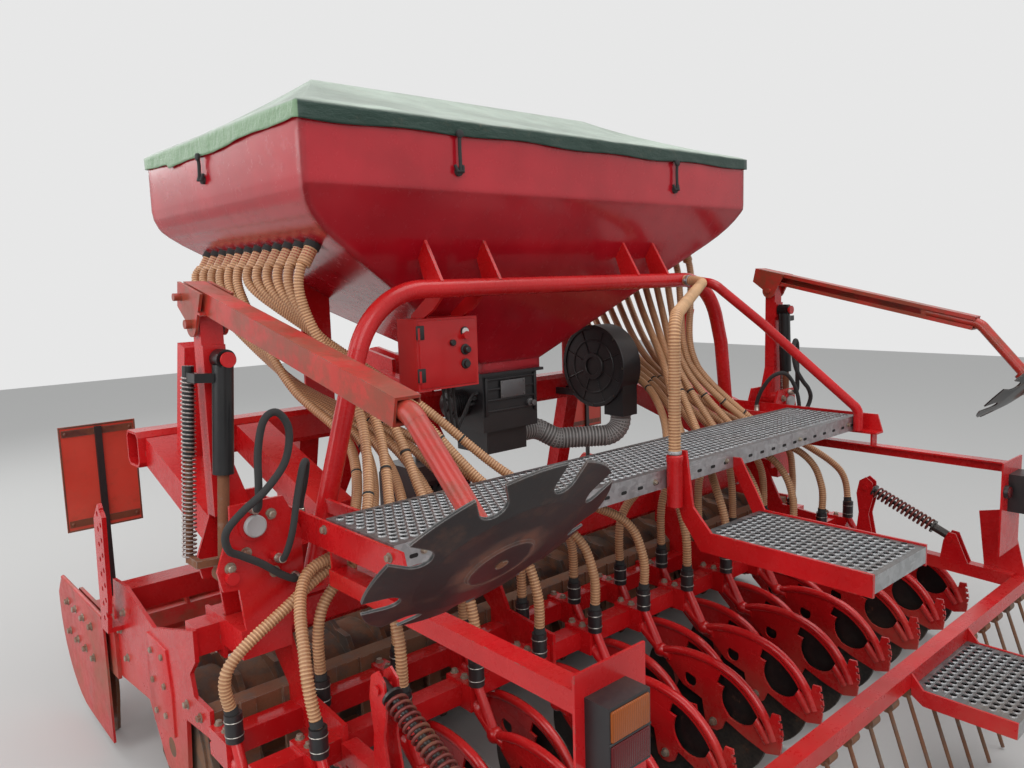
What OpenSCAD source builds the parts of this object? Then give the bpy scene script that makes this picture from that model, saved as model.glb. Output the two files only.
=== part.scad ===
// Mounted pneumatic seed drill on a power harrow with packer roller, 24 rows at 125 mm.
// X is right seen forwards, Y is forwards to the tractor, Z is up, the ground is Z = 0.

/* [Rows and coulters] */
// Number of seed rows
rows = 24; // [16:2:24]
// Distance between rows
row_gap = 125; // [115:1:130]
// Diameter of the seed discs
disc_d = 350; // [300:5:360]
// Axle of the rear rank of discs, behind the origin
rear_disc_y = -765; // [-780:5:-750]
// How far the front rank stands before the rear rank
rank_step = 215; // [200:5:230]
// Diameter of the coulter arm's tube
arm_tube_d = 30; // [26:1:32]
// Thickness of the coulter arm's plate
arm_plate_t = 8; // [6:1:9]
// Radius of the two round windows in the arm's plate
arm_window_r = 24; // [18:1:26]

/* [Hopper] */
// Length of the hopper across the machine
hopper_w = 2200; // [2100:10:2240]
// Depth of the hopper's top, front to rear
hopper_d = 1260; // [1200:10:1300]
// Height of the hopper's rim
hopper_top_z = 2110; // [2080:5:2150]
// Height of the hopper's outlet
hopper_low_z = 1290; // [1280:5:1310]
// Thickness of the hopper's wall
hopper_wall = 5; // [4:1:8]
// Height of the cover's ridge over the rim
cover_rise = 255; // [200:5:300]
// Depth of the cover's skirt below the rim
cover_skirt = 50; // [40:5:70]

/* [Frame] */
// Side of the square main beams
beam_s = 120; // [100:5:130]
// Height of the rear main beam's centre
rear_beam_z = 660; // [640:5:680]
// Height of the front main beam's centre
front_beam_z = 1095; // [1080:5:1110]
// Place of the front main beam's centre
front_beam_y = 650; // [630:5:670]
// Diameter of the arch's tube
arch_d = 60; // [50:1:64]
// Height of the arch's top tube
arch_z = 1600; // [1590:2:1620]
// Radius of the arch's bends
arch_bend = 260; // [220:5:300]

/* [Steps] */
// Height of the walkway's surface
walk_z = 1000; // [980:5:1020]
// Length of the walkway
walk_w = 2370; // [2300:10:2380]
// Depth of the walkway
walk_d = 330; // [300:5:340]
// Height of the walkway's rear flange
walk_lip = 62; // [50:1:70]

/* [Power harrow] */
// Length of the gear trough
trough_w = 2960; // [2900:10:2960]
// Depth of the gear trough
trough_d = 380; // [360:5:400]
// Number of rotors
rotors = 12; // [12:1:12]
// Distance between rotor axes
rotor_gap = 250; // [250:1:250]
// Length of a tine below its holder
tine_len = 241.5; // [200:0.5:241.5]

/* [Packer roller] */
// Diameter over the roller's teeth
roller_d = 500; // [480:5:510]
// Diameter of the roller's drum
drum_d = 400; // [380:5:420]
// Gap between the roller's drum and the arm at each end
roller_gap = 13; // [8:1:20]

/* [Row markers] */
// Side distance of the marker's post
marker_x = 1350; // [1345:1:1355]
// Height of the marker's foot pivot
marker_piv_z = 1000; // [990:5:1010]
// Length of the marker's channel arm
marker_arm_l = 1000; // [950:10:1020]
// Downward angle of the stowed channel arm
marker_tilt = 12.7; // [12:0.1:14]
// Diameter of the marker disc
marker_disc_d = 470; // [440:5:480]
// Number of notches in the marker disc
marker_notches = 9; // [8:1:10]

/* [Tractor linkage] */
// Distance between the shoulders of the lower link pins
link_span = 965; // [965:1:965]
// Diameter of the lower link pins
link_pin_d = 36.6; // [36.6:0.1:36.6]
// Height of the top link's hole over the lower pins
mast_h = 685; // [685:1:685]
// Diameter of the top link's hole
top_hole_d = 32; // [32:0.1:32]

/* [Hidden] */
$fn = 48;

red = [0.78, 0.08, 0.07];
steel = [0.68, 0.69, 0.70];
dark = [0.12, 0.12, 0.13];

// Gap of a running fit between a pin and its hole
fit_gap = 0.3;
// Gap between a turning piece and what carries it
run_gap = 6;

// Shared shapes

// A block between two corners
module block(lo, hi) {
    translate(lo) cube(hi - lo);
}

// A flat plate standing across X, its outline in Y and Z
module plate_x(x, t, outline) {
    translate([x, 0, 0]) rotate([90, 0, 90]) linear_extrude(t) polygon(outline);
}

// A flat plate standing across Y, its outline in X and Z
module plate_y(y, t, outline) {
    translate([0, y + t, 0]) rotate([90, 0, 0]) linear_extrude(t) polygon(outline);
}

// Round bars along the axes
module rod_x(x0, x1, y, z, r) {
    translate([x0, y, z]) rotate([0, 90, 0]) cylinder(h = x1 - x0, r = r);
}
module rod_y(y0, y1, x, z, r) {
    translate([x, y0, z]) rotate([-90, 0, 0]) cylinder(h = y1 - y0, r = r);
}

// A round bar from one point to another
module rod(p, q, r) {
    v = q - p;
    l = norm(v);
    translate(p) rotate([0, acos(v[2] / l), atan2(v[1], v[0])]) cylinder(h = l, r = r);
}

// A round tube through a row of points, with a bend of radius br at each inner point
module bent_rod(points, r, br = 60) {
    n = len(points);
    lap = 2;
    cuts = [for (i = [0 : n - 1]) (i == 0 || i == n - 1) ? 0 : bend_cut(points, i, br) - lap];
    for (i = [0 : n - 2]) let (d = (points[i + 1] - points[i]) / norm(points[i + 1] - points[i]))
        rod(points[i] + d * cuts[i], points[i + 1] - d * cuts[i + 1], r);
    if (n > 2) for (i = [1 : n - 2]) {
        d1 = (points[i] - points[i - 1]) / norm(points[i] - points[i - 1]);
        d2 = (points[i + 1] - points[i]) / norm(points[i + 1] - points[i]);
        inward = (d2 - (d1 * d2) * d1) / norm(d2 - (d1 * d2) * d1);
        w = cross(-inward, d1);
        c = points[i] - d1 * (cuts[i] + lap) + inward * br;
        multmatrix([[-inward[0], d1[0], w[0], c[0]], [-inward[1], d1[1], w[1], c[1]],
            [-inward[2], d1[2], w[2], c[2]], [0, 0, 0, 1]])
            rotate_extrude(angle = acos(min(1, d1 * d2))) translate([br, 0]) circle(r = r + 0.4);
    }
}
// Length that a bend takes off each straight beside it
function bend_cut(p, i, br) = let (d1 = (p[i] - p[i - 1]) / norm(p[i] - p[i - 1]),
    d2 = (p[i + 1] - p[i]) / norm(p[i + 1] - p[i])) br * tan(acos(min(1, d1 * d2)) / 2);

// A flat bar in the YZ plane between two points, h high and from x0 to x1 wide
module bar_yz(x0, x1, p, q, h) {
    a = atan2(q[1] - p[1], q[0] - p[0]);
    l = norm(q - p);
    translate([x0, p[0], p[1]]) rotate([a, 0, 0]) translate([0, 0, -h / 2]) cube([x1 - x0, l, h]);
}

// A flat bar in the XZ plane between two points, h high and from y0 to y1 deep
module bar_xz(y0, y1, p, q, h) {
    a = atan2(q[1] - p[1], q[0] - p[0]);
    l = norm(q - p);
    translate([p[0], y0, p[1]]) rotate([0, -a, 0]) translate([0, 0, -h / 2]) cube([l, y1 - y0, h]);
}

// The same piece on the left (side -1) or on the right (side 1), drawn on the left
module on_side(side) {
    if (side < 0) children();
    else mirror([1, 0, 0]) children();
}
module both_sides() {
    children();
    mirror([1, 0, 0]) children();
}

// A point's mirror image in X
function mx(p) = [-p[0], p[1], p[2]];

// Points of an arc
function arc(c, r, a0, a1, n) =
    [for (i = [0 : n]) c + r * [cos(a0 + (a1 - a0) * i / n), sin(a0 + (a1 - a0) * i / n)]];

// Overall reach, front and rear, either side of the origin
reach = 1550;

// Power harrow
trough_y = 950;
trough_lo = 330;
trough_hi = 450;
trough_front = trough_y + trough_d / 2;
trough_rear = trough_y - trough_d / 2;
end_t = 12;
cap_h = 22;
hub_h = 26;
holder_h = 40;
tine_r = 92;
rotor_top = trough_lo - cap_h - fit_gap;
tine_top = rotor_top - hub_h;
side_gap = 12;
side_t = 8;
deck_cut = 45;
flange_w = 30;

module harrow_trough() {
    color(red) {
        // gear case with sloped deck edges
        plate_x(-trough_w / 2, trough_w, [[trough_rear, trough_lo + 25], [trough_rear + 25, trough_lo],
            [trough_front - 25, trough_lo], [trough_front, trough_lo + 25], [trough_front, trough_hi - deck_cut],
            [trough_front - deck_cut, trough_hi], [trough_rear + deck_cut, trough_hi],
            [trough_rear, trough_hi - deck_cut]]);
        // flanges along the deck
        block([-trough_w / 2, trough_front, trough_hi - 75], [trough_w / 2, trough_front + flange_w, trough_hi - 63]);
        block([-trough_w / 2, trough_rear - flange_w, trough_hi - 75], [trough_w / 2, trough_rear, trough_hi - 63]);
        // raised cover over the gears
        block([-trough_w / 2 + 60, trough_y - 105, trough_hi], [trough_w / 2 - 60, trough_y + 105, trough_hi + 10]);
        // stiffening ribs on the deck
        for (i = [0 : 6]) {
            x = (i - 3) * rotor_gap * 1.6;
            if (abs(x) > 300) plate_x(x - 6, 12, [[trough_rear + 45, trough_hi], [trough_y - 105, trough_hi + 55],
                [trough_y - 105, trough_hi]]);
        }
        // bearing caps of the rotors
        for (i = [0 : rotors - 1])
            translate([(i - (rotors - 1) / 2) * rotor_gap, trough_y, trough_lo - cap_h]) cylinder(h = cap_h, r = 78);
        // end plates
        both_sides() plate_x(-trough_w / 2 - end_t, end_t, [[trough_rear - 60, trough_lo - 40],
            [trough_front + 60, trough_lo - 40], [trough_front + 60, trough_hi], [trough_front, trough_hi + 50],
            [trough_rear, trough_hi + 50], [trough_rear - 60, trough_hi]]);
    }
}

// Side shield of the harrow, drawn on the left
module harrow_side(side) {
    x0 = -trough_w / 2 - end_t - side_gap;
    color(red) on_side(side) {
        plate_x(x0 - side_t, side_t, concat([[760, 500], [760, 35], [1060, 42]],
            arc([1060, 382], 340, -80, 0, 8), [[1400, 420], [1330, 500]]));
        // rolled top edge
        rod_y(765, 1320, x0 - side_t / 2, 500, 8);
        // hanger on the end plate
        block([x0, 900, 470], [x0 + side_gap, 1000, 482]);
        block([x0, 880, 360], [x0 + side_gap, 1020, 430]);
    }
}

module rotor(i) {
    x = (i - (rotors - 1) / 2) * rotor_gap;
    color(dark) translate([x, trough_y, 0]) rotate([0, 0, (i % 2 == 0) ? 20 : 70]) {
        translate([0, 0, tine_top]) cylinder(h = hub_h, r = 66);
        translate([-112, -38, tine_top - holder_h]) cube([224, 76, holder_h]);
        for (a = [0, 180]) rotate([0, 0, a]) translate([tine_r - 7, 0, tine_top - holder_h]) rotate([90, 0, 90])
            linear_extrude(14) polygon([[-32, 0], [32, 0], [30, -90], [14, -tine_len + 8], [2, -tine_len],
                [-12, -tine_len], [-26, -100]]);
    }
}

// Gearbox on the trough with the drive shaft's stub
gear_x = 150;
gear_lo = trough_hi + 10;
gear_hi = gear_lo + 310;
shaft_z = gear_lo + 165;
shaft_r = 17.45;
shaft_end = trough_y + 370;

module gearbox() {
    color(dark) {
        difference() {
            plate_x(-gear_x, 2 * gear_x, [[trough_y - 170, gear_lo], [trough_y + 170, gear_lo],
                [trough_y + 170, gear_hi - 60], [trough_y + 110, gear_hi], [trough_y - 110, gear_hi],
                [trough_y - 170, gear_hi - 60]]);
            // vents between the cooling ribs
            for (i = [-3 : 3]) block([i * 40 - 8, trough_y - 175, gear_lo + 60],
                [i * 40 + 8, trough_y - 150, gear_hi - 80]);
        }
        rod_y(trough_y + 170, trough_y + 215, 0, shaft_z, 75);
        rod_y(trough_y + 215, shaft_end, 0, shaft_z, shaft_r);
        rod_y(trough_y - 200, trough_y - 170, 0, shaft_z, 70);
        translate([0, trough_y, gear_hi]) cylinder(h = 24, r = 40);
    }
}

// Headstock with the lower link pins and the top link's ears
link_z = 560;
link_y = reach - link_pin_d / 2 - 32;
head_lo = 380;
foot_y0 = trough_front + flange_w;
foot_y1 = foot_y0 + 90;
ear_t = 20;
ear_gap = 60;
mast_x = ear_gap / 2 + ear_t;
pin_len = 78;

module headstock() {
    color(red) difference() {
        union() {
            // cross tube before the trough
            block([-520, foot_y0, head_lo], [520, foot_y1, head_lo + 120]);
            // feet on the deck's front edge
            both_sides() for (x = [-500, -300]) plate_x(x, 16, [[trough_front, trough_hi - 62],
                [foot_y0 + 1, trough_hi - 62], [foot_y0 + 1, head_lo + 110], [trough_front - deck_cut, head_lo + 110],
                [trough_front - deck_cut, trough_hi], [trough_front, trough_hi - deck_cut]]);
            // cheeks that carry the lower pins
            both_sides() for (x = [-link_span / 2, -link_span / 2 + 90]) plate_x(x, 18, [[foot_y1, head_lo - 20],
                [link_y - 30, link_z - 55], [link_y + 42, link_z - 50], [reach, link_z + 40],
                [link_y - 30, link_z + 60], [foot_y1, head_lo + 250]]);
            // lower pins
            both_sides() rod_x(-link_span / 2 - pin_len, -link_span / 2, link_y, link_z, link_pin_d / 2);
            both_sides() rod_x(-link_span / 2 + 18, -link_span / 2 + 90, link_y, link_z, 34);
            // mast legs
            both_sides() bar_xz(foot_y0 + 10, foot_y1 - 10, [-link_span / 2 + 60, head_lo + 100],
                [-mast_x - 20, link_z + mast_h - 60], 80);
            // ears of the top link
            both_sides() plate_x(-mast_x, ear_t, [[foot_y0, link_z + mast_h - 190], [foot_y1, link_z + mast_h - 190],
                [link_y - 90, link_z + mast_h - 60], [link_y - 60, link_z + mast_h + 45],
                [link_y - 120, link_z + mast_h + 55], [foot_y0 - 60, link_z + mast_h + 10],
                [foot_y0 - 60, link_z + mast_h - 60]]);
            block([-mast_x, foot_y0 + 5, link_z + mast_h - 180], [mast_x, foot_y1 - 15, link_z + mast_h - 100]);
        }
        rod_x(-200, 200, link_y - 105, link_z + mast_h, top_hole_d / 2);
    }
}

// Packer roller and its frame
roller_y = 210;
roller_z = roller_d / 2;
arm_t = 12;
arm_x = trough_w / 2 - arm_t;
roller_pin_r = 30;
roller_w = 2 * (arm_x - roller_gap);

module roller_frame() {
    color(red) difference() {
        union() {
            both_sides() plate_x(-arm_x - arm_t, arm_t, [[roller_y - 95, roller_z - 80],
                [roller_y + 60, roller_z - 85], [roller_y + 190, trough_lo], [trough_rear - 60, trough_lo - 30],
                [trough_rear - flange_w - 2, trough_lo - 30], [trough_rear - flange_w - 2, trough_hi + 50],
                [trough_rear - 60, 650], [trough_rear - 200, 660], [roller_y + 90, 600],
                [-50, rear_beam_z + 40], [-50, rear_beam_z - 50], [0, 560], [-20, 500],
                [scraper_y - 35, 500], [scraper_y - 35, scraper_z - 10], [60, 400], [80, 240]]);
            // perforated depth sector
            both_sides() plate_x(-arm_x - 60, 14, [[trough_rear - 130, trough_hi + 40], [trough_rear - 60, trough_hi + 40],
                [trough_rear - 90, 880], [trough_rear - 150, 940], [trough_rear - 190, 900], [trough_rear - 170, 620]]);
            both_sides() block([-arm_x - 46, trough_rear - 130, trough_hi + 40],
                [-arm_x - arm_t, trough_rear - 60, trough_hi + 56]);
            // torsion tube behind the trough
            block([-arm_x, trough_rear - 180, 560], [arm_x, trough_rear - 80, 640]);
        }
        both_sides() for (i = [0 : 7]) for (j = [0, 1])
            rod_x(-arm_x - 80, -arm_x - 40, trough_rear - 110 - j * 34 - i * 4, trough_hi + 90 + i * 52 + j * 20, 9);
        both_sides() rod_x(-arm_x - 20, -arm_x + 5, roller_y, roller_z, roller_pin_r + fit_gap);
    }
}

module packer_roller() {
    tooth_h = (roller_d - drum_d) / 2;
    rings = 12;
    color(dark) {
        rod_x(-roller_w / 2, roller_w / 2, roller_y, roller_z, drum_d / 2);
        rod_x(-arm_x - arm_t, arm_x + arm_t, roller_y, roller_z, roller_pin_r);
        for (k = [0 : rows - 1]) if (abs(row_x(k)) + 12 < roller_w / 2)
            translate([row_x(k) - 9, roller_y, roller_z]) rotate([90, 0, 90]) linear_extrude(18) polygon([for (i = [0 : rings * 2 - 1])
                let (r = (i % 2 == 0) ? drum_d / 2 + tooth_h : drum_d / 2 + tooth_h - 22, a = i * 180 / rings - 90)
                [r * cos(a), r * sin(a)]]);
    }
}

// Scrapers between the roller's rings, hung from their own bar
scraper_y = roller_y - roller_d / 2 - 55;
scraper_z = 430;

module scrapers() {
    color(red) {
        block([-arm_x, scraper_y - 30, scraper_z], [arm_x, scraper_y + 30, scraper_z + 60]);
        for (k = [0 : rows - 2]) {
            x = row_x(k + 0.5);
            if (abs(x) + 36 < arm_x) {
            block([x - 22, scraper_y - 42, 225], [x + 22, scraper_y - 30, scraper_z + 66]);
            block([x - 34, scraper_y - 42, 225], [x + 34, roller_y - drum_d / 2 - run_gap, 237]);
            }
        }
    }
}

// Main frame of the drill
rear_beam_y = 0;
// Gap between the rear beam's end and the roller's arm
beam_end_gap = 76;
beam_hw = arm_x - beam_end_gap;
half = beam_s / 2;
rail_x = [1310, 1000];
side_plate_x = 1256;
post_x = 1250;

module beam_section(c, s, cut) {
    translate(c) polygon([[-s + cut, -s], [s - cut, -s], [s, -s + cut], [s, s - cut], [s - cut, s],
        [-s + cut, s], [-s, s - cut], [-s, -s + cut]]);
}

module drill_frame() {
    wall = 8;
    color(red) {
        // main beams, open at their ends
        for (c = [[rear_beam_y, rear_beam_z], [front_beam_y, front_beam_z]])
            translate([-beam_hw, 0, 0]) rotate([90, 0, 90]) linear_extrude(2 * beam_hw) difference() {
                beam_section(c, half, 18);
                beam_section(c, half - wall, 14);
            }
        // sloping rails
        both_sides() for (x = rail_x)
            bar_yz(-x - half, -x + half, [front_beam_y - half, front_beam_z - 5], [8, 905], 96);
        // uprights from the rear beam to the rails
        both_sides() for (x = rail_x) block([-x - 40, -40, rear_beam_z + half], [-x + 40, 40, 880]);
        // rest post of the marker
        both_sides() bar_yz(-rail_x[0], -rail_x[0] + 60, [front_beam_y - 200, front_beam_z - 60],
            [front_beam_y - 300, 1450], 60);
        // struts to the headstock
        both_sides() bar_yz(-mast_x - 55, -mast_x, [front_beam_y + half - 5, front_beam_z + 10],
            [foot_y0 + 2, link_z + mast_h - 70], 60);
        // struts to the trough
        both_sides() bar_yz(-780, -700, [front_beam_y + 40, front_beam_z - half + 5],
            [trough_rear + 70, trough_hi + 14], 70);
        both_sides() block([-790, trough_rear + deck_cut + 1, trough_hi], [-685, trough_y - 106, trough_hi + 14]);
        // bolted ends of the rear beam, on the roller's arms
        both_sides() difference() {
            block([-beam_hw - 10, -half, rear_beam_z - half], [-beam_hw, half, rear_beam_z + half]);
            rod_x(-beam_hw - 11, -beam_hw + 1, 46, rear_beam_z, 4.5);
        }
        both_sides() block([-arm_x, -40, rear_beam_z - 40], [-beam_hw - 10, 40, rear_beam_z + 40]);
        // carriers of the hopper on the front beam
        both_sides() plate_x(-186, 12, [[front_beam_y - 50, front_beam_z + half], [front_beam_y + 50, front_beam_z + half],
            [front_beam_y + 50, hopper_front_z(front_beam_y + 50) - 0.5],
            [front_beam_y - 50, hopper_front_z(front_beam_y - 50) - 0.5]]);
        both_sides() plate_y(front_beam_y - 30, 12, [[-760, front_beam_z + half], [-640, front_beam_z + half],
            [-640, hopper_end_z(640) - 0.5], [-760, hopper_end_z(760) - 0.5]]);
        // side plates down to the coulter bars
        both_sides() for (x = [side_plate_x, 506]) difference() {
            plate_x(-x, 12, [[-half, rear_beam_z + 50], [-half, rear_beam_z - half - 30], [-139, 500], [-139, 380],
                [-rear_bar_reach, 380], [-rear_bar_reach, 500], [-230, 520], [-130, rear_beam_z + 50]]);
            for (y = rank_ys) block([-x - 1, y + head_dy - bar_s / 2, bar_z - bar_s / 2],
                [-x + 13, y + head_dy + bar_s / 2, bar_z + bar_s / 2]);
        }
        // foot of each row marker
        both_sides() marker_foot();
    }
}

// Arch over the walkway that carries the hopper
arch_y = -70;
arch_top_x = 872;
leg_x0 = 970;
leg_z0 = 1310;
leg_x1 = walk_w / 2 - 70;
leg_low = rear_beam_z + half;

module arch_frame() {
    corner = [arch_top_x, arch_y, arch_z];
    knee = [leg_x0, arch_y, leg_z0];
    foot = [leg_x1, arch_y + 40, leg_low + 9];
    color(red) {
        bent_rod([mx(foot), mx(knee), mx(corner), corner, knee, foot], arch_d / 2, arch_bend);
        both_sides() {
            translate([-leg_x1 - 60, arch_y - 10, leg_low]) cube([120, 110, 14]);
        }
        // arms to the walkway's front flange
        both_sides() block([-leg_x1 + 43, walk_y0 + walk_d, walk_z - 50], [-leg_x1 + 55, -50, walk_z - 10]);
        // lugs against the hopper's rear wall
        for (x = [-620, -370, 370, 560]) plate_x(x - 6, 12, [[arch_y + 10, arch_z + 20], [arch_y + 60, arch_z - 10],
            [hopper_rear(1700) - 0.4, 1700], [hopper_rear(1760) - 0.4, 1760], [arch_y - 20, arch_z + 25]]);
    }
}

// Hopper: crossing of two tapered profiles
hop_rear = -100;
hop_front = hop_rear + hopper_d;
hop_hw = hopper_w / 2;
crease_z = 1910;
out_hw = 160;
out_rear = 290;
out_front = 570;
end_arc = 210;
end_low_z = 1760;
end_low_x = 960;

// Place of the rear wall's outer face at a height below the crease
function hopper_rear(z) = hop_rear + (crease_z - z) / (crease_z - hopper_low_z) * (out_rear - hop_rear);

// Height of the front slope and of the end slopes, outside
function hopper_front_z(y) = hopper_low_z + (y - out_front) / (hop_front - out_front) * (crease_z - 60 - hopper_low_z);
function hopper_end_z(x) = hopper_low_z + (x - out_hw) / (end_low_x - out_hw) * (end_low_z - hopper_low_z);

function hopper_ends(w, e) = let (x = hop_hw - w, b = out_hw - w, k = end_low_x - 2 * w) concat(
    [[-x, hopper_top_z + e], [-x, crease_z + 20]],
    [for (i = [1 : 5]) let (t = i / 5)
        [-x + (x - k) * t * t, crease_z + 20 - (crease_z + 20 - end_low_z) * t]],
    [[-b, hopper_low_z - e], [b, hopper_low_z - e]],
    [for (i = [5 : -1 : 1]) let (t = i / 5)
        [x - (x - k) * t * t, crease_z + 20 - (crease_z + 20 - end_low_z) * t]],
    [[x, crease_z + 20], [x, hopper_top_z + e]]);
function hopper_side(w, e) = [[hop_rear + w, hopper_top_z + e], [hop_rear + w, crease_z],
    [out_rear + w, hopper_low_z - e], [out_front - w, hopper_low_z - e], [hop_front - w, crease_z - 60],
    [hop_front - w, hopper_top_z + e]];

// Solid of the hopper's form, moved in by w, and past both ends by e
module hopper_form(w, e) {
    intersection() {
        plate_y(hop_rear - 10, hopper_d + 20, hopper_ends(w, e));
        plate_x(-hop_hw - 10, hopper_w + 20, hopper_side(w, e));
    }
}

module hopper() {
    color(red) {
        difference() {
            hopper_form(0, 0);
            hopper_form(hopper_wall, 2);
        }
        // outlet neck
        difference() {
            block([-out_hw, out_rear, hopper_low_z - 40], [out_hw, out_front, hopper_low_z]);
            block([-out_hw + hopper_wall, out_rear + hopper_wall, hopper_low_z - 41],
                [out_hw - hopper_wall, out_front - hopper_wall, hopper_low_z + 1]);
        }
        // spigots of the seed hoses under the end slopes
        both_sides() for (i = [0 : rows / 2 - 1]) rod([outlet_x, outlet_y0 + i * outlet_gap, outlet_z] - end_out * 8,
            [outlet_x, outlet_y0 + i * outlet_gap, outlet_z] - end_out * 66, hose_r + 4);
    }
}

// Cover with its skirt, a closed hip roof
module hopper_cover() {
    t = 6;
    grow = 12;
    ridge_x = 710;
    ridge_y = hop_rear + hopper_d / 2;
    x = hop_hw + grow;
    y0 = hop_rear - grow;
    y1 = hop_front + grow;
    z0 = hopper_top_z + fit_gap;
    z1 = z0 + 25;
    z2 = hopper_top_z + cover_rise;
    color([0.12, 0.27, 0.2]) {
        polyhedron(points = [[-x, y0, z1], [x, y0, z1], [x, y1, z1], [-x, y1, z1], [-ridge_x, ridge_y, z2],
            [ridge_x, ridge_y, z2], [-x, y0, z0], [x, y0, z0], [x, y1, z0], [-x, y1, z0]],
            faces = [[0, 4, 5, 1], [1, 5, 2], [2, 5, 4, 3], [3, 4, 0], [0, 1, 7, 6], [1, 2, 8, 7],
                [2, 3, 9, 8], [3, 0, 6, 9], [6, 7, 8, 9]]);
        difference() {
            block([-x, y0, hopper_top_z - cover_skirt], [x, y1, z0]);
            block([-x + grow - 1, y0 + grow - 1, hopper_top_z - cover_skirt - 1],
                [x - grow + 1, y1 - grow + 1, z0 + 1]);
        }
    }
}

// Metering unit, fan and duct below the hopper
meter_lo = 905;
neck_lo = hopper_low_z - 40;

module metering_unit() {
    color(dark) {
        block([-out_hw - 12, out_rear - 12, neck_lo - 12], [out_hw + 12, out_front + 12, neck_lo]);
        block([-150, out_rear + 10, meter_lo + 100], [150, out_front - 10, neck_lo - 12]);
        block([-110, out_rear + 40, meter_lo], [110, out_front - 40, meter_lo + 100]);
        rod_x(-230, -150, 430, 1120, 55);
        rod_x(150, 200, 430, 1120, 70);
    }
}

fan_x = 540;
fan_y = 330;
fan_z = 1215;
module fan() {
    color(dark) {
        difference() {
            union() {
                rod_x(fan_x, fan_x + 110, fan_y, fan_z, 190);
                block([fan_x + 6, fan_y - 172, fan_z - 220], [fan_x + 104, fan_y - 60, fan_z]);
            }
            rod_x(fan_x + 40, fan_x + 120, fan_y, fan_z, 90);
        }
        rod_x(fan_x + 40, fan_x + 70, fan_y, fan_z, 40);
        // arms to the front beam
        for (x = [fan_x + 10, fan_x + 80]) block([x, fan_y + 100, 1065], [x + 20, front_beam_y - half, 1095]);
    }
}

module air_duct() {
    color(steel) bent_rod([[fan_x + 55, fan_y - 116, fan_z - 220.3], [fan_x + 55, fan_y - 116, 900],
        [fan_x - 200, 380, 900], [260, 430, meter_lo + 50], [110.3, 430, meter_lo + 50]], 45, 80);
}

// Control cabinet on the arch's left side
box_x0 = -650;
box_x1 = -390;
box_z0 = 1255;
box_z1 = 1500;
box_y0 = 40;
box_y1 = 140;
door_t = 13.5;
// Gap in which the door's inner edge turns past the box
door_gap = 0.8;

module control_box() {
    w = 4;
    color(red) {
        difference() {
            block([box_x0, box_y0, box_z0], [box_x1, box_y1, box_z1]);
            block([box_x0 + w, box_y0 - 1, box_z0 + w], [box_x1 - w, box_y1 - w, box_z1 - w]);
        }
        // brackets up to the arch's top tube
        difference() {
            for (x = [box_x0 + 45, box_x1 - 42]) plate_x(x, 12, [[box_y0 + 10, box_z1], [box_y1 - 20, box_z1],
                [box_y1 - 20, box_z1 + 10], [arch_y + 30, arch_z + 12], [arch_y, arch_z - 20], [arch_y + 60, box_z1 + 30]]);
            rod_x(box_x0, box_x1, arch_y, arch_z, arch_d / 2 + fit_gap);
        }
    }
}

module control_box_door() {
    color(red) {
        block([box_x0, box_y0 - door_t - door_gap, box_z0], [box_x1, box_y0 - door_gap, box_z1]);
        for (z = [box_z0 + 30, box_z1 - 70]) translate([box_x0 + 5, box_y0 - door_t - door_gap - 3.7, z]) cylinder(h = 40, r = 6);
        rod_y(box_y0 - door_t - door_gap - 21, box_y0 - door_t - door_gap + 1, box_x1 - 60, box_z0 + 130, 12);
        rod_y(box_y0 - door_t - door_gap - 21, box_y0 - door_t - door_gap + 1, box_x1 - 60, box_z0 + 180, 14);
    }
}

// Perforated walkway
module walkway() {
    t = 3;
    y0 = walk_y0;
    y1 = walk_y0 + walk_d;
    color(steel) {
        block([-walk_w / 2, y0, walk_z - t], [walk_w / 2, y1, walk_z]);
        block([-walk_w / 2, y0, walk_z - walk_lip], [walk_w / 2, y0 + t, walk_z - t]);
        block([-walk_w / 2, y1 - t, walk_z - walk_lip], [walk_w / 2, y1, walk_z - t]);
        both_sides() block([-walk_w / 2, y0 + t, walk_z - walk_lip], [-walk_w / 2 + t, y1 - t, walk_z - t]);
    }
}
walk_y0 = -614;

module lower_step() {
    t = 3;
    z = 800;
    color(steel) {
        block([-95, -1275, z - t], [240, -720, z]);
        block([-95, -1275, z - 50], [240, -1275 + t, z - t]);
        block([240 - t, -1275 + t, z - 50], [240, -720, z - t]);
    }
    color(red) {
        plate_x(-105, 10, [[-1275, z - 60], [-1275, z + 6], [-760, z + 6], [-690, 880], [-664, 1060],
            [walk_y0 - 0.3, 1060], [walk_y0 - 0.3, 930], [-650, 830], [-720, z - 60]]);
        plate_x(240, 8, [[-1275, z - 60], [-1275, z + 6], [-740, z + 6], [walk_y0 - 30, 975],
            [walk_y0 - 0.3, 975], [walk_y0 - 0.3, 930], [-720, z - 60]]);
    }
}

// Handrail on the right
module handrail() {
    x = walk_w / 2 - 35;
    color(red) bent_rod([[740, arch_y - arch_d / 2 - 1.5, arch_z - 6], [740, -190, arch_z - 20], [900, -330, 1400],
        [x, walk_y0 - 20.3, 1030], [x, walk_y0 - 20.3, walk_z - walk_lip + 2]], 20, 60);
}

module air_hose() {
    color([0.8, 0.66, 0.45]) bent_rod([[660, arch_y - arch_d / 2 - 0.4, arch_z], [660, -190, arch_z - 10],
        [-131.5, walk_y0 - 26.3, 1490], [-131.5, walk_y0 - 26.3, 1040]], 20, 90);
    color(red) rod([-131.5, walk_y0 - 26.3, 880], [-131.5, walk_y0 - 26.3, 1050], 26);
}

// Coulters

function row_x(k) = (k - (rows - 1) / 2) * row_gap;
disc_r = disc_d / 2;
axle_z = disc_r;
plate_off = 25;
head_half = 24;
arm_mid = -plate_off - arm_plate_t / 2;
head_dy = 365;
ball_dy = 215;
boot_dy = 290;
boot_top = 545;
bar_s = 60;
axle_r = 12;

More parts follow.
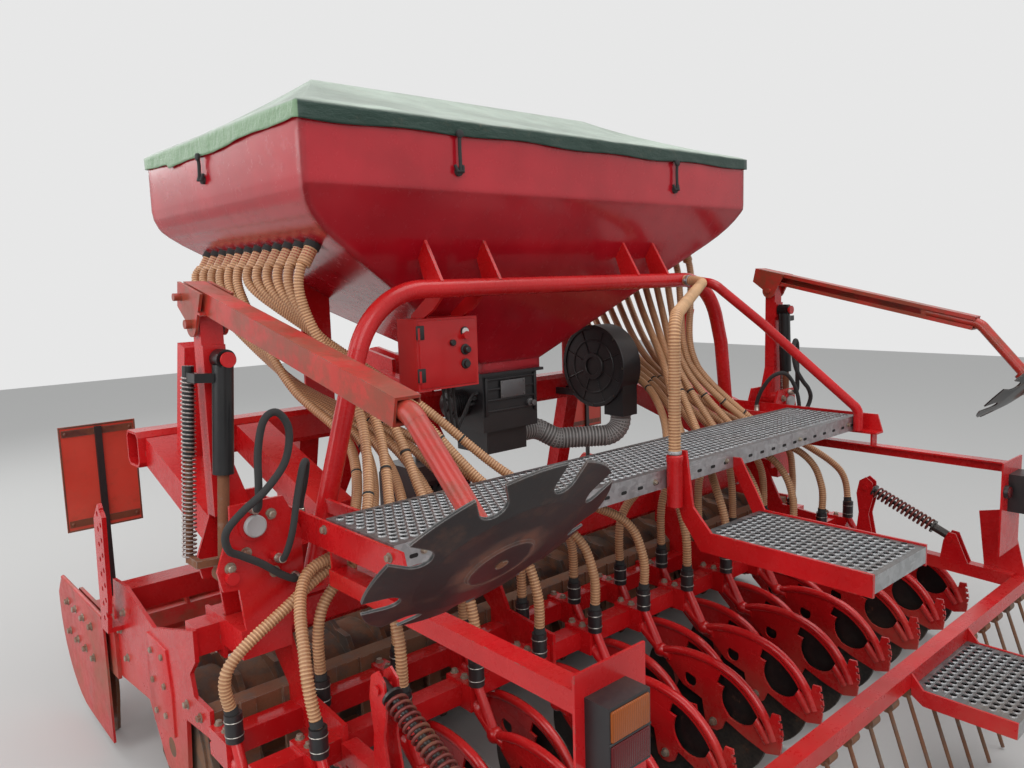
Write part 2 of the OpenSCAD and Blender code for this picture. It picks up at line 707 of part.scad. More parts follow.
// One coulter arm, with its disc's axle at the middle of its own frame
module coulter_arm() {
    x0 = -plate_off - arm_plate_t;
    notch = 5;
    color(red) {
        difference() {
            plate_x(x0, arm_plate_t, [[ball_dy - 20, 340], [ball_dy - 25, 318], [120, 258], [45, 236], [30, 160],
                [12, 147], [-12, 147], [-30, 160], [-45, 196], [-120, 166], [-190, 146], [-238, 160], [-246, 225],
                [-234, 286], [-208, 284], [-198, 240], [-130, 268]]);
            rod_x(x0 - 1, 1 - plate_off, 92, 286, arm_window_r);
            rod_x(x0 - 1, 1 - plate_off, -70, 232, arm_window_r);
            // notches of the depth sector
            for (a = [0 : 3]) rod_x(x0 - 1, 1 - plate_off, -244 + a * 3, 200 + a * 22, notch);
        }
        bent_rod([[arm_mid, ball_dy, 347], [arm_mid, -130, 268], [arm_mid, -197, 184]], arm_tube_d / 2);
        translate([arm_mid, ball_dy, 347]) sphere(r = head_half);
        rod([arm_mid, ball_dy + 5, 352], [arm_mid, head_dy - 50, bar_z - 10], 18);
        // stub axle
        rod_x(x0, plate_off - 5, 0, 175, axle_r);
        // seed tube
        rod([arm_mid, ball_dy + 10, 365], [arm_mid, boot_dy, 474], 14);
    }
}

// One rank of coulters on its bar
bar_z = 430;
bar_half = 1480;
rank_ys = [rear_disc_y + rank_step, rear_disc_y];
rear_bar_reach = -(rear_disc_y + head_dy - bar_s / 2 - 16);
module coulter_rank(first, axle_y) {
    bar_y = axle_y + head_dy;
    color(red) {
        block([-bar_half, bar_y - bar_s / 2, bar_z - bar_s / 2], [bar_half, bar_y + bar_s / 2, bar_z + bar_s / 2]);
        for (k = [first : 2 : rows - 1]) translate([row_x(k), axle_y, 0]) {
            translate([0, 0, axle_z - 175]) coulter_arm();
            difference() {
                block([arm_mid - head_half, head_dy - 75, 392], [arm_mid + head_half, head_dy + 40, 470]);
                // clamp slot
                block([arm_mid - head_half - 1, head_dy + bar_s / 2, 426], [arm_mid + head_half + 1, head_dy + 41, 434]);
            }
        }
    }
    color(dark) for (k = [first : 2 : rows - 1])
        translate([row_x(k) + arm_mid, axle_y + boot_dy, 470]) cylinder(h = boot_top - 470, r = 23);
}
module coulters_front() { coulter_rank(0, rear_disc_y + rank_step); }
module coulters_rear() { coulter_rank(1, rear_disc_y); }

// One rank of double discs, each a lens of two dished discs on a hub
module disc_rank(first, axle_y) {
    rim = 6;
    hub = 13;
    color(dark) for (k = [first : 2 : rows - 1]) translate([row_x(k), axle_y, axle_z]) rotate([0, 90, 0])
        rotate_extrude($fn = 64) polygon([[axle_r + fit_gap, -hub], [45, -hub], [60, -11], [disc_r, -rim],
            [disc_r, -rim + 4], [62, -7], [62, 7], [disc_r, rim - 4], [disc_r, rim], [60, 11], [45, hub],
            [axle_r + fit_gap, hub]]);
}
module discs_front() { disc_rank(0, rear_disc_y + rank_step); }
module discs_rear() { disc_rank(1, rear_disc_y); }

// Covering harrow with its arms, springs and spring tines
cover_bar_y = -1240;
cover_bar_z = 395;
cover_arm_x = 1245;

module covering_harrow() {
    color(red) {
        block([-1500, cover_bar_y - 25, cover_bar_z - 25], [1500, cover_bar_y + 25, cover_bar_z + 25]);
        both_sides() {
            bar_yz(-cover_arm_x - 22, -cover_arm_x + 22, [cover_bar_y + 20, cover_bar_z + 10],
                [-rear_bar_reach - 1.3, bar_z + 4], 50);
            // upright plate beside each arm
            plate_x(-cover_arm_x - 28, 6, [[cover_bar_y - 20, cover_bar_z], [cover_bar_y + 130, cover_bar_z + 10],
                [cover_bar_y + 160, 650], [cover_bar_y + 80, 670], [cover_bar_y + 20, 560]]);
        }
    }
    color(dark) for (k = [0 : rows - 1]) let (x = row_x(k) + 30) {
        rod_x(x - 22, x + 22, cover_bar_y - 5, cover_bar_z - 43, 20);
        rod([x - 18, cover_bar_y - 12, cover_bar_z - 50], [x - 18, cover_bar_y - 130, 8], 6);
    }
}

module rear_step() {
    t = 3;
    z = 370;
    color(steel) {
        block([200, -reach, z - t], [640, -1240 - 25 - 0.3, z]);
        block([200, -reach, z - 45], [640, -reach + t, z - t]);
    }
    color(red) for (x = [192, 640]) plate_x(x, 8, [[-reach, z - 45], [-reach, z + 3], [cover_bar_y - 60, z + 3],
        [cover_bar_y - 25.3, z + 45], [cover_bar_y - 25.3, z - 20], [cover_bar_y - 60, z - 45]]);
}

// Lamp bars, drawn on the left
lamp_z = 880;
lamp_y = -1230;
lamp_start = -340;
lamp_out = walk_w / 2 + 30;
module lamp_bar(side) {
    color(red) on_side(side) {
        // side bar under the walkway's end
        block([-lamp_out, -713, walk_z - walk_lip - 8], [-lamp_out + 65, 40, walk_z - walk_lip]);
        plate_x(-lamp_out, 8, [[-713, walk_z - walk_lip], [-690, walk_z + 8], [40, walk_z + 8], [40, walk_z - walk_lip]]);
        // port of the marker's hydraulic hose
        translate(port_high) cylinder(h = port_len, r = port_r);
        // lamp bar with its hangers
        block([-lamp_out, lamp_y, lamp_z - 45], [-lamp_out + 6, lamp_start, lamp_z]);
        block([-lamp_out + 6, lamp_y, lamp_z - 6], [-lamp_out + 50, lamp_start, lamp_z]);
        for (y = [lamp_start - 8, -690]) block([-lamp_out + 6, y, lamp_z], [-lamp_out + 50, y + 8, walk_z - walk_lip - 8]);
        block([-lamp_out, lamp_y - 6, 560], [-1015, lamp_y, lamp_z + 30]);
    }
}

module rear_lamps() {
    color(dark) both_sides() {
        block([-1190, lamp_y - 66, 720], [-1075, lamp_y - 6, 860]);
        rod_y(lamp_y - 20, lamp_y - 6, -1045, 800, 24);
    }
}

module warning_boards() {
    color([0.75, 0.2, 0.15]) both_sides() {
        block([-1506, board_y + 15, 712], [-1232, board_y + 18, 1120]);
        block([-1382, board_y, trough_hi - 63], [-1358, board_y + 12, 1110]);
        for (z = [730, 1080]) block([-1496, board_y + 12, z], [-1242, board_y + 15, z + 25]);
    }
}
board_y = trough_front + 10;

// Row markers, drawn on the left
port_r = 13;
port_len = 28;
port_low = [-1300, -195, 905];
port_high = [-1180, -130, walk_z - walk_lip];
foot_rear = -195;
foot_front = -45;
foot_t = 10;
pivot_r = 26;
hub_r = 39;
post_x0 = -marker_x - 68;
post_x1 = -marker_x - 8;
post_y0 = -112;
post_y1 = -62;
cyl_y = -150;
cyl_r = 27;
cyl_rod_r = 15;
// The cylinder's pins: at the post's top and at the foot
cyl_top = [-marker_x - 30, 1440];
cyl_low = [-marker_x - 70, marker_piv_z - 125];
arm_piv = [-87, 1532];
post_top = arm_piv[1] + 20;
channel_s = 56;
channel_t = 6;
channel_up = 36;
hub_pos = [-marker_x - 20, -1220, 1165];
spring_dx = -66;
spring_r = 15;
spring_y = 64;
spring_core = 9.5;

// The fixed foot, part of the drill frame
module marker_foot() {
    outline = [[-marker_x - 60, marker_piv_z + 62], [-marker_x - 62, marker_piv_z + 10],
        [-marker_x - 104, marker_piv_z - 105], [-marker_x - 92, marker_piv_z - 160],
        [-marker_x - 50, marker_piv_z - 165], [-marker_x - 40, rear_beam_z + half + 14],
        [-beam_hw + 6, rear_beam_z + half - 6], [-beam_hw + 6, rear_beam_z + half - 25],
        [-1200, rear_beam_z + half - 25], [-1215, 830], [-1215, 960], [-1262, marker_piv_z + 62]];
    plate_y(foot_rear, foot_t, outline);
    plate_y(foot_front - foot_t, foot_t, outline);
    rod_y(foot_rear - 8, foot_front + 8, -marker_x, marker_piv_z, pivot_r);
    rod_y(foot_rear - 6, foot_rear, -marker_x, marker_piv_z, hub_r + 2);
    for (y = [foot_rear - 18, foot_front]) rod_y(y, y + 18, cyl_low[0], cyl_low[1], 17);
    // port of the marker's hydraulic hose
    rod_y(foot_rear - port_len, foot_rear, port_low[0], port_low[2], port_r);
    block([-beam_hw - 10, foot_rear, rear_beam_z - 20], [-1262, rear_beam_y - half, rear_beam_z + half]);
}

module marker_post(side) {
    color(red) on_side(side) {
        difference() {
            union() {
                block([post_x0, post_y0, marker_piv_z + 20], [post_x1, post_y1, post_top]);
                rod_y(foot_rear + foot_t + run_gap, foot_front - foot_t - run_gap, -marker_x, marker_piv_z, hub_r);
                plate_y(post_y0, post_y1 - post_y0, [[-marker_x - 40, marker_piv_z + 15],
                    [-marker_x + 40, marker_piv_z + 15], [post_x1, marker_piv_z + 160], [post_x0, marker_piv_z + 160]]);
            }
            rod_y(foot_rear, foot_front, -marker_x, marker_piv_z, pivot_r + fit_gap);
            rod_x(post_x0 - 1, post_x1 + 1, arm_piv[0], arm_piv[1], 12 + fit_gap);
        }
        // pin of the cylinder
        rod_y(cyl_y - 32, post_y0, cyl_top[0], cyl_top[1], 12);
        rod_y(cyl_y - 40, cyl_y - 32, cyl_top[0], cyl_top[1], 20);
        block([post_x0, post_y0 - 8, cyl_top[1] - 36], [post_x1, post_y0, cyl_top[1] + 36]);
    }
}

// A frame along the stowed channel: Y runs to the rear end, Z is its upper side
module along_arm() {
    translate([0, arm_piv[0], arm_piv[1]]) rotate([180 + marker_tilt, 0, 0]) mirror([0, 0, 1]) children();
}

module marker_arm(side) {
    x0 = post_x0 + 2;
    x1 = x0 + channel_s;
    end = marker_arm_l - 80;
    cheek_gap = 6;
    color(red) on_side(side) {
        along_arm() {
            // channel, open towards the machine
            difference() {
                translate([x0, -95, channel_up]) cube([channel_s, end + 95, channel_s]);
                translate([x0 + channel_t, -96, channel_up + channel_t])
                    cube([channel_s - channel_t - 3, end + 97, channel_s - 2 * channel_t]);
                translate([x1 - 4, -96, channel_up + 16]) cube([5, end + 97, channel_s - 32]);
            }
            // cheeks beside the post
            for (x = [post_x0 - cheek_gap - 8, post_x1 + cheek_gap]) {
                translate([x, 0, 0]) rotate([90, 0, 90]) linear_extrude(8) difference() {
                    union() {
                        circle(r = 34);
                        polygon([[-34, 0], [34, 0], [60, channel_up + channel_s], [-95, channel_up + channel_s],
                            [-95, channel_up - 10]]);
                    }
                    circle(r = 6);
                }
                translate([min(x, x0), -95, channel_up]) cube([max(x + 8, x1) - min(x, x0), 155, channel_t]);
            }
            rod_x(post_x0 - 30, post_x1 + 26, 0, 0, 12);
            rod_x(post_x0 - 34, post_x0 - 14, -70, channel_up + 20, 10);
        }
        // tube out of the channel to the disc
        p0 = [x0 + channel_s / 2, hub_pos[1] + 420, arm_line(hub_pos[1] + 420)];
        p1 = [x0 + channel_s / 2, hub_pos[1] + 205, arm_line(hub_pos[1] + 205)];
        bent_rod([p0, p1, hub_pos + disc_dir * 38], 21);
        rod(hub_pos + disc_dir * 60, hub_pos + disc_dir * 12, 34);
        rod(hub_pos + disc_dir * 30, hub_pos - disc_dir * 12, axle_r);
        translate(p0 - [channel_s / 2 - channel_t, 10, 22]) cube([channel_s - 2 * channel_t, 20, 44]);
    }
}
// Height of the channel's middle line at a place along Y
function arm_line(y) = arm_piv[1] + (y - arm_piv[0]) * tan(marker_tilt) + (channel_up + channel_s / 2) / cos(marker_tilt);
// Direction from the disc up its tube
disc_lean = 45;
disc_dir = [0, sin(disc_lean), cos(disc_lean)];

// The marker disc, dished and notched
module marker_disc(side) {
    r = marker_disc_d / 2;
    dish = 26;
    t = 5;
    color(dark) on_side(side) translate(hub_pos) rotate([-disc_lean, 0, 0]) difference() {
        rotate_extrude($fn = 72) polygon([[axle_r + fit_gap, -10], [62, -10], [66, -6], [r * 0.66, dish * 0.35 - 6],
            [r, dish - 6], [r, dish - 6 + t], [r * 0.66, dish * 0.35 - 6 + t + 1], [66, 2], [40, 6],
            [axle_r + fit_gap, 6]]);
        for (i = [0 : marker_notches - 1]) rotate([0, 0, i * 360 / marker_notches]) {
            translate([r - 38, -24, -20]) cube([80, 48, 80]);
            translate([r - 38, 0, -20]) cylinder(h = 80, r = 24);
        }
    }
}

// Direction of the cylinder from its top pin to its foot
cyl_v = cyl_low - cyl_top;
cyl_len = norm(cyl_v);
cyl_u = [cyl_v[0] / cyl_len, 0, cyl_v[1] / cyl_len];
cyl_p = [cyl_top[0], cyl_y, cyl_top[1]];
barrel_len = 300;

// A frame along the cylinder: its rod points down, its top pin is the origin
module along_cyl() {
    translate(cyl_p) rotate([0, atan2(cyl_u[0], cyl_u[2]) + 180, 0]) children();
}

module marker_barrel(side) {
    color(dark) on_side(side) along_cyl() difference() {
        union() {
            translate([0, 0, -barrel_len]) cylinder(h = barrel_len - 15, r = cyl_r);
            rod_y(-24, 24, 0, 0, 26);
            // upper hook and outer sleeve of the tension spring
            block([spring_dx - 10, -8, -60], [-15, 8, -36]);
            block([spring_dx - 10, -8, -60], [spring_dx + 10, spring_y, -36]);
            translate([spring_dx, spring_y, -spring_len / 2 - 20]) cylinder(h = spring_len / 2, r = spring_r);
        }
        translate([0, 0, -barrel_len - 1]) cylinder(h = barrel_len - 40, r = cyl_rod_r + 0.5);
        rod_y(-25, 25, 0, 0, 12 + fit_gap);
        translate([spring_dx, spring_y, -spring_len / 2 - 21]) cylinder(h = spring_len / 2 - 3, r = spring_core + 0.7);
    }
}

module marker_rod(side) {
    color(steel) on_side(side) along_cyl() {
        translate([0, 0, -cyl_len + 15]) cylinder(h = cyl_len - barrel_len + 15, r = cyl_rod_r);
        rod_y(-22, 22, 0, -cyl_len, 24);
        // lower hook and core of the tension spring
        block([spring_dx - 8, -8, -cyl_len + 26], [0, 8, -cyl_len + 46]);
        block([spring_dx - 8, -8, -cyl_len + 26], [spring_dx + 8, spring_y, -cyl_len + 46]);
        translate([spring_dx, spring_y, -cyl_len + 26]) cylinder(h = cyl_len - 26 - spring_len / 2 + 5, r = spring_core);
    }
}
spring_len = 480;

// Seed hoses, each swept along a smooth route

hose_r = 17;
outlet_gap = 76;
outlet_y0 = 130;
outlet_x = -985;
outlet_z = 1700;
// Way out of the hopper's end slopes
end_out = [-(end_low_z - hopper_low_z), 0, -(end_low_x - out_hw)] / norm([end_low_z - hopper_low_z, end_low_x - out_hw]);
bundle_x0 = -890;
bundle_gap = 46;

function unit(v) = v / norm(v);
// A smooth curve through points, n steps on each stretch
function smooth(p, n) = let (m = len(p)) concat([for (i = [0 : m - 2]) for (j = [0 : n - 1])
    let (t = j / n, a = p[max(i - 1, 0)], b = p[i], c = p[i + 1], d = p[min(i + 2, m - 1)])
    0.5 * ((2 * b) + (c - a) * t + (2 * a - 5 * b + 4 * c - d) * t * t + (3 * b - a - 3 * c + d) * t * t * t)],
    [p[m - 1]]);

module sweep(path, r, sides) {
    n = len(path);
    rings = [for (i = [0 : n - 1]) let (d = unit(path[min(i + 1, n - 1)] - path[max(i - 1, 0)]),
        u = unit(cross(d, [1, 0.2, 0])), v = cross(d, u))
        for (a = [0 : sides - 1]) path[i] + r * (u * cos(a * 360 / sides) + v * sin(a * 360 / sides))];
    walls = [for (i = [0 : n - 2]) for (a = [0 : sides - 1]) let (b = (a + 1) % sides)
        [i * sides + a, i * sides + b, (i + 1) * sides + b, (i + 1) * sides + a]];
    polyhedron(points = rings, faces = concat(walls, [[for (a = [sides - 1 : -1 : 0]) a],
        [for (a = [0 : sides - 1]) (n - 1) * sides + a]]), convexity = 6);
}

// Route of one seed hose, drawn on the left, from its outlet to its boot
function hose_route(k, side) = let (
    far = side < 0 ? k % 2 == 1 : k % 2 == 0,
    j = floor(k / 2),
    y = outlet_y0 + outlet_gap * (far ? j : j + rows / 4),
    bx = bundle_x0 + bundle_gap * j,
    tx = row_x(k) - side * arm_mid,
    boot_y = (far ? rear_disc_y : rear_disc_y + rank_step) + boot_dy,
    px = bx * 0.6 + tx * 0.4,
    top = [[outlet_x, y, outlet_z], [outlet_x, y, outlet_z] + end_out * 70],
    mid = far ? [[-985 + 24 * j, 45 + y * 0.5, 1490 - 8 * j], [bx, 12, 1215]]
        : [[-960 + 24 * j, 70 + y * 0.5, 1300 - 6 * j], [bx, 85, 1100]],
    low = far ? (j == 0 ? [[-1040, -232, 930], [-1250, -272, 850], [tx, -430, 690]]
            : [[px, -222, 950], [tx * 0.85 + px * 0.15, boot_y + 70, 800], [tx, boot_y + 4, 670]])
        : (j == 0 ? [[-1060, -185, 900], [-1250, -245, 800], [tx, boot_y, 670]]
            : [[px, -185, 900], [tx * 0.9 + px * 0.1, boot_y + 12, 740]]))
    concat(top, mid, low, [[tx, boot_y, boot_top - 12]]);

// Hydraulic hose of a marker, a free loop between its two ports
hydraulic_r = 9;
module marker_hose(side) {
    color(dark) on_side(side) sweep(smooth([[port_low[0], port_low[1] - port_len - 0.4, port_low[2]],
        [port_low[0], -262, 916], [-1286, -288, 985], [-1262, -282, 1080], [-1226, -252, 1150],
        [-1192, -205, 1140], [-1178, -158, 1075], [port_high[0], port_high[1], 1010],
        [port_high[0], port_high[1], port_high[2] + port_len + 0.4]], 3), hydraulic_r, 8);
}

// Cables from the control box to the metering unit
cable_r = 5;
module cables() {
    color(dark) for (i = [0 : 2]) sweep(smooth([[-500 + 22 * i, 90, box_z0 - 0.4], [-500 + 22 * i, 90, 1215],
        [-470 + 22 * i, 115, 1120 - 12 * i], [-380 + 12 * i, 200, 1055 - 12 * i], [-275, 290 + 6 * i, 1075 - 14 * i],
        [-205, 322 + 10 * i, 1140 - 22 * i], [-175, 330 + 14 * i, 1165 - 22 * i],
        [-150.4, 330 + 14 * i, 1165 - 22 * i]], 2), cable_r, 8);
}

module hoses(side) {
    color([0.8, 0.66, 0.45]) on_side(side)
        for (k = [0 : rows / 2 - 1]) sweep(smooth(hose_route(k, side), 2), hose_r, 8);
}

harrow_trough();
harrow_side(-1);  // harrow_side_left
harrow_side(1);  // harrow_side_right
gearbox();
headstock();
rotor(0);  // rotor_01
rotor(1);  // rotor_02
rotor(2);  // rotor_03
rotor(3);  // rotor_04
rotor(4);  // rotor_05
rotor(5);  // rotor_06
rotor(6);  // rotor_07
rotor(7);  // rotor_08
rotor(8);  // rotor_09
rotor(9);  // rotor_10
rotor(10);  // rotor_11
rotor(11);  // rotor_12
roller_frame();
packer_roller();
scrapers();
drill_frame();
arch_frame();
hopper();
hopper_cover();
metering_unit();
fan();
air_duct();
control_box();
control_box_door();
hoses(-1);  // hoses_left
hoses(1);  // hoses_right
walkway();
lower_step();
handrail();
air_hose();
coulters_front();
coulters_rear();
discs_front();
discs_rear();
covering_harrow();
rear_step();
lamp_bar(-1);  // lamp_bar_left
lamp_bar(1);  // lamp_bar_right
rear_lamps();
warning_boards();
cables();
marker_hose(-1);  // marker_hose_left
marker_hose(1);  // marker_hose_right
marker_post(-1);  // marker_post_left
marker_arm(-1);  // marker_arm_left
marker_disc(-1);  // marker_disc_left
marker_barrel(-1);  // marker_barrel_left
marker_rod(-1);  // marker_rod_left
marker_post(1);  // marker_post_right
marker_arm(1);  // marker_arm_right
marker_disc(1);  // marker_disc_right
marker_barrel(1);  // marker_barrel_right
marker_rod(1);  // marker_rod_right
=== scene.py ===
"""Dresses the mounted seed drill: paint, cover, ribbed hoses, tread plates, lamps and small parts."""
import math

import bmesh
import bpy
from bpy.props import FloatProperty, FloatVectorProperty, PointerProperty
from mathutils import Matrix, Vector
from mathutils.bvhtree import BVHTree


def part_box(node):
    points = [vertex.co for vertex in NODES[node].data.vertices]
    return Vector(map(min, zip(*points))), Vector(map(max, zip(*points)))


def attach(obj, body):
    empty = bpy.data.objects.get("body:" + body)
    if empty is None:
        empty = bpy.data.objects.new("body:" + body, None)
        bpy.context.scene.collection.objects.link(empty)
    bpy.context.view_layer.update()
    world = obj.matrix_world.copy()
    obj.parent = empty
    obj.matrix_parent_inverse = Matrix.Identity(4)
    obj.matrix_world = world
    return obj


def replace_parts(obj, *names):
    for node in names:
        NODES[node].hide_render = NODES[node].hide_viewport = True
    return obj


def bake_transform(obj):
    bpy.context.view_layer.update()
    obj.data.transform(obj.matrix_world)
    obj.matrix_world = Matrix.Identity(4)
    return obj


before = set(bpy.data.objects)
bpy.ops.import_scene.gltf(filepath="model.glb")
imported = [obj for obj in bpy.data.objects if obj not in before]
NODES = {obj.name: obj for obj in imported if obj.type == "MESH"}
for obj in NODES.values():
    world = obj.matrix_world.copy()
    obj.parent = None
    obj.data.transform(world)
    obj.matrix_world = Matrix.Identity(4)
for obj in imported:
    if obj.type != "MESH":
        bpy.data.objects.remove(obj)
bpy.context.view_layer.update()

bl_info = {
    "name": "Seed Drill Dressing",
    "version": (1, 0, 0),
    "blender": (4, 5, 0),
    "location": "View3D > Sidebar > Seed Drill",
    "description": "Paints and dresses a mounted seed drill with its power harrow",
    "category": "Object",
}

SIDES = ((-1, "left"), (1, "right"))
UP = Vector((0, 0, 1))
RIGHT = Vector((1, 0, 0))
REAR = Vector((0, -1, 0))

# Rows, in metres: the coulters' plates stand beside their row's middle, and each rank of discs has its place
ROWS = 24
ROW_GAP = 0.125
MIDDLE_ROW = (ROWS - 1) / 2
PLATE_OFF = 0.029
RANKS = {"front": -0.550, "rear": -0.765}
AXLE_Z = 0.175


def row_x(row):
    """Middle of a row's coulter plate."""
    return (row - MIDDLE_ROW) * ROW_GAP - PLATE_OFF


def rows_of(rank):
    """Rows of a rank; the front one has the first."""
    return range(0 if rank == "front" else 1, ROWS, 2)


# Sizes and colours that a user may change


def colour(name, description, default):
    """A colour setting."""
    return FloatVectorProperty(name=name, description=description, subtype="COLOR", size=3, min=0, max=1,
                               default=default)


def share(name, description, default):
    """A setting from nothing to all."""
    return FloatProperty(name=name, description=description, subtype="FACTOR", min=0, max=1, default=default)


def length(name, description, least, most, default):
    """A setting in metres."""
    return FloatProperty(name=name, description=description, subtype="DISTANCE", min=least, max=most,
                         default=default)


class PaintSettings(bpy.types.PropertyGroup):
    """Colours and wear of the painted and plated metal."""

    red: colour("Red", "Paint of the frame and the coulters", (0.57, 0.006, 0.009))
    hopper_red: colour("Hopper red", "Smoother paint of the hopper", (0.45, 0.005, 0.016))
    dust_colour: colour("Dust", "Dry soil lying on the metal", (0.30, 0.20, 0.13))
    dust: share("Dust amount", "How much dust lies on upper faces", 0.20)
    wear: share("Edge wear", "How far the paint is chipped along edges", 0.32)
    zinc: colour("Zinc", "Galvanised tread plates", (0.40, 0.41, 0.42))


class CoverSettings(bpy.types.PropertyGroup):
    """The tarpaulin over the hopper."""

    # The roof's colour is partly faded, dusty cloth and partly a painted reflection of the sky; the skirt's
    # colour is the cloth's own
    top: colour("Top", "Faded cloth of the cover's roof", (0.42, 0.49, 0.42))
    skirt: colour("Skirt", "Dark cloth of the cover's skirt", (0.008, 0.036, 0.024))
    sag: length("Sag", "How far the cloth hangs between ridge and rim", 0, 0.06, 0.018)
    drop: length("Skirt drop", "Depth of the skirt below the rim", 0.01, 0.05, 0.026)


class HoseSettings(bpy.types.PropertyGroup):
    """Ribbed hoses."""

    pitch: length("Rib pitch", "Distance between the ribs of a seed hose", 0.006, 0.02, 0.0092)
    rib: length("Rib height", "How far a rib stands out", 0.0005, 0.004, 0.0024)
    colour: colour("Colour", "Tan plastic of the hoses", (0.68, 0.40, 0.21))
    # Painted shade: this darker tone between the ribs stands for the shade there
    groove: colour("Groove", "Darker tone between the ribs", (0.38, 0.175, 0.080))


class TreadSettings(bpy.types.PropertyGroup):
    """Raised perforations of the tread plates."""

    pitch: length("Pitch", "Distance between the perforations", 0.015, 0.06, 0.030)
    radius: length("Radius", "Radius of a raised perforation", 0.004, 0.013, 0.0120)
    height: length("Height", "How far a perforation stands up", 0.001, 0.006, 0.0038)


class FastenerSettings(bpy.types.PropertyGroup):
    """Bolts and springs."""

    bolt: length("Bolt size", "Radius of a bolt's head", 0.004, 0.02, 0.0115)
    coil: length("Spring pitch", "Distance between a spring's turns", 0.006, 0.02, 0.0112)


class StageSettings(bpy.types.PropertyGroup):
    """Camera, floor and light."""

    lens: FloatProperty(name="Lens", description="Focal length of the camera in millimetres",
                        min=20, max=80, default=28.3)
    floor: colour("Floor", "Colour of the floor", (0.55, 0.55, 0.54))
    light: FloatProperty(name="Light", description="Strength of the sky's light",
                         min=0.1, max=3, default=0.72)


# Nodes of shaders and geometry


def feed(tree, socket, value):
    """Links a socket to another one, or sets its value."""
    if isinstance(value, bpy.types.NodeSocket):
        tree.links.new(value, socket)
    elif socket.type == "RGBA":
        socket.default_value = (*tuple(value)[:3], 1.0)
    else:
        socket.default_value = value


def node(tree, kind, settings=None, **inputs):
    """A node with its settings, and with its inputs linked or set by name."""
    made = tree.nodes.new(kind)
    for label, value in (settings or {}).items():
        setattr(made, label, value)
    for label, value in inputs.items():
        feed(tree, made.inputs[label.replace("_", " ")], value)
    return made


def maths(tree, operation, *terms, clamp=False):
    """A Math node fed by numbers or sockets."""
    made = node(tree, "ShaderNodeMath", {"operation": operation, "use_clamp": clamp})
    for socket, value in zip(made.inputs, terms):
        feed(tree, socket, value)
    return made.outputs[0]


def times(tree, first, second, clamp=False):
    """A product."""
    return maths(tree, "MULTIPLY", first, second, clamp=clamp)


def plus(tree, first, second, clamp=False):
    """A sum."""
    return maths(tree, "ADD", first, second, clamp=clamp)


def ramp(tree, value, low, high, to_low=0.0, to_high=1.0):
    """A smooth step of a value from low to high."""
    return node(tree, "ShaderNodeMapRange", {"interpolation_type": "SMOOTHSTEP"}, Value=value, From_Min=low,
                From_Max=high, To_Min=to_low, To_Max=to_high).outputs["Result"]


def noise(tree, place, scale, detail=3.0, rough=0.55):
    """A Noise texture on object coordinates."""
    return node(tree, "ShaderNodeTexNoise", Vector=place, Scale=scale, Detail=detail,
                Roughness=rough).outputs["Fac"]


def object_place(tree):
    """Object coordinates."""
    return node(tree, "ShaderNodeTexCoord").outputs["Object"]


def axes(tree, vector):
    """The X, Y and Z of a vector."""
    return node(tree, "ShaderNodeSeparateXYZ", Vector=vector).outputs


def mixed(tree, kind, first, mask, *values):
    """Outputs of a Mix node of a kind, whose two values go in from its first socket for them."""
    made = node(tree, "ShaderNodeMix", {"data_type": kind}, Factor=mask)
    for socket, value in zip(made.inputs[first:], values):
        feed(tree, socket, value)
    return made.outputs


def mix(tree, mask, under, over):
    """Colour over a colour by a mask."""
    return mixed(tree, "RGBA", 6, mask, under, over)[2]


def blend_value(tree, mask, under, over):
    """A number between two others by a mask."""
    return mixed(tree, "FLOAT", 2, mask, under, over)[0]


def bump(tree, height, strength, distance, base=None):
    """A Bump node over a height."""
    made = node(tree, "ShaderNodeBump", Height=height, Strength=strength, Distance=distance)
    if base is not None:
        tree.links.new(base, made.inputs["Normal"])
    return made.outputs["Normal"]


def drawn_out(tree, place, scale, turn=0.0):
    """Object coordinates stretched along the axes, and turned about Z."""
    made = node(tree, "ShaderNodeMapping", Vector=place, Scale=scale, Rotation=(0.0, 0.0, turn))
    return made.outputs["Vector"]


# Shader node groups that several finishes share


def new_group(name, inputs, outputs):
    """An empty shader group with named number inputs and outputs."""
    group = bpy.data.node_groups.new(name, "ShaderNodeTree")
    for label, default in inputs:
        socket = group.interface.new_socket(name=label, in_out="INPUT", socket_type="NodeSocketFloat")
        socket.default_value = default
    for label in outputs:
        group.interface.new_socket(name=label, in_out="OUTPUT", socket_type="NodeSocketFloat")
    return group, node(group, "NodeGroupInput").outputs, node(group, "NodeGroupOutput").inputs


def edge_wear_group():
    """Mask of chipped paint along convex edges."""
    group, given, out = new_group("edge_wear", [("Amount", 0.5), ("Scale", 30.0)], ["Mask"])
    bevel = node(group, "ShaderNodeBevel", {"samples": 4}, Radius=0.004)
    turn = node(group, "ShaderNodeVectorMath", {"operation": "DOT_PRODUCT"})
    feed(group, turn.inputs[0], bevel.outputs["Normal"])
    feed(group, turn.inputs[1], node(group, "ShaderNodeNewGeometry").outputs["Normal"])
    edge = ramp(group, turn.outputs["Value"], 0.995, 0.86)
    broken = noise(group, object_place(group), given["Scale"], 4.0, 0.7)
    limit = maths(group, "SUBTRACT", 1.0, given["Amount"])
    chips = ramp(group, maths(group, "SUBTRACT", broken, times(group, limit, 0.78)), 0.02, 0.10)
    feed(group, out["Mask"], times(group, edge, chips, True))
    return group


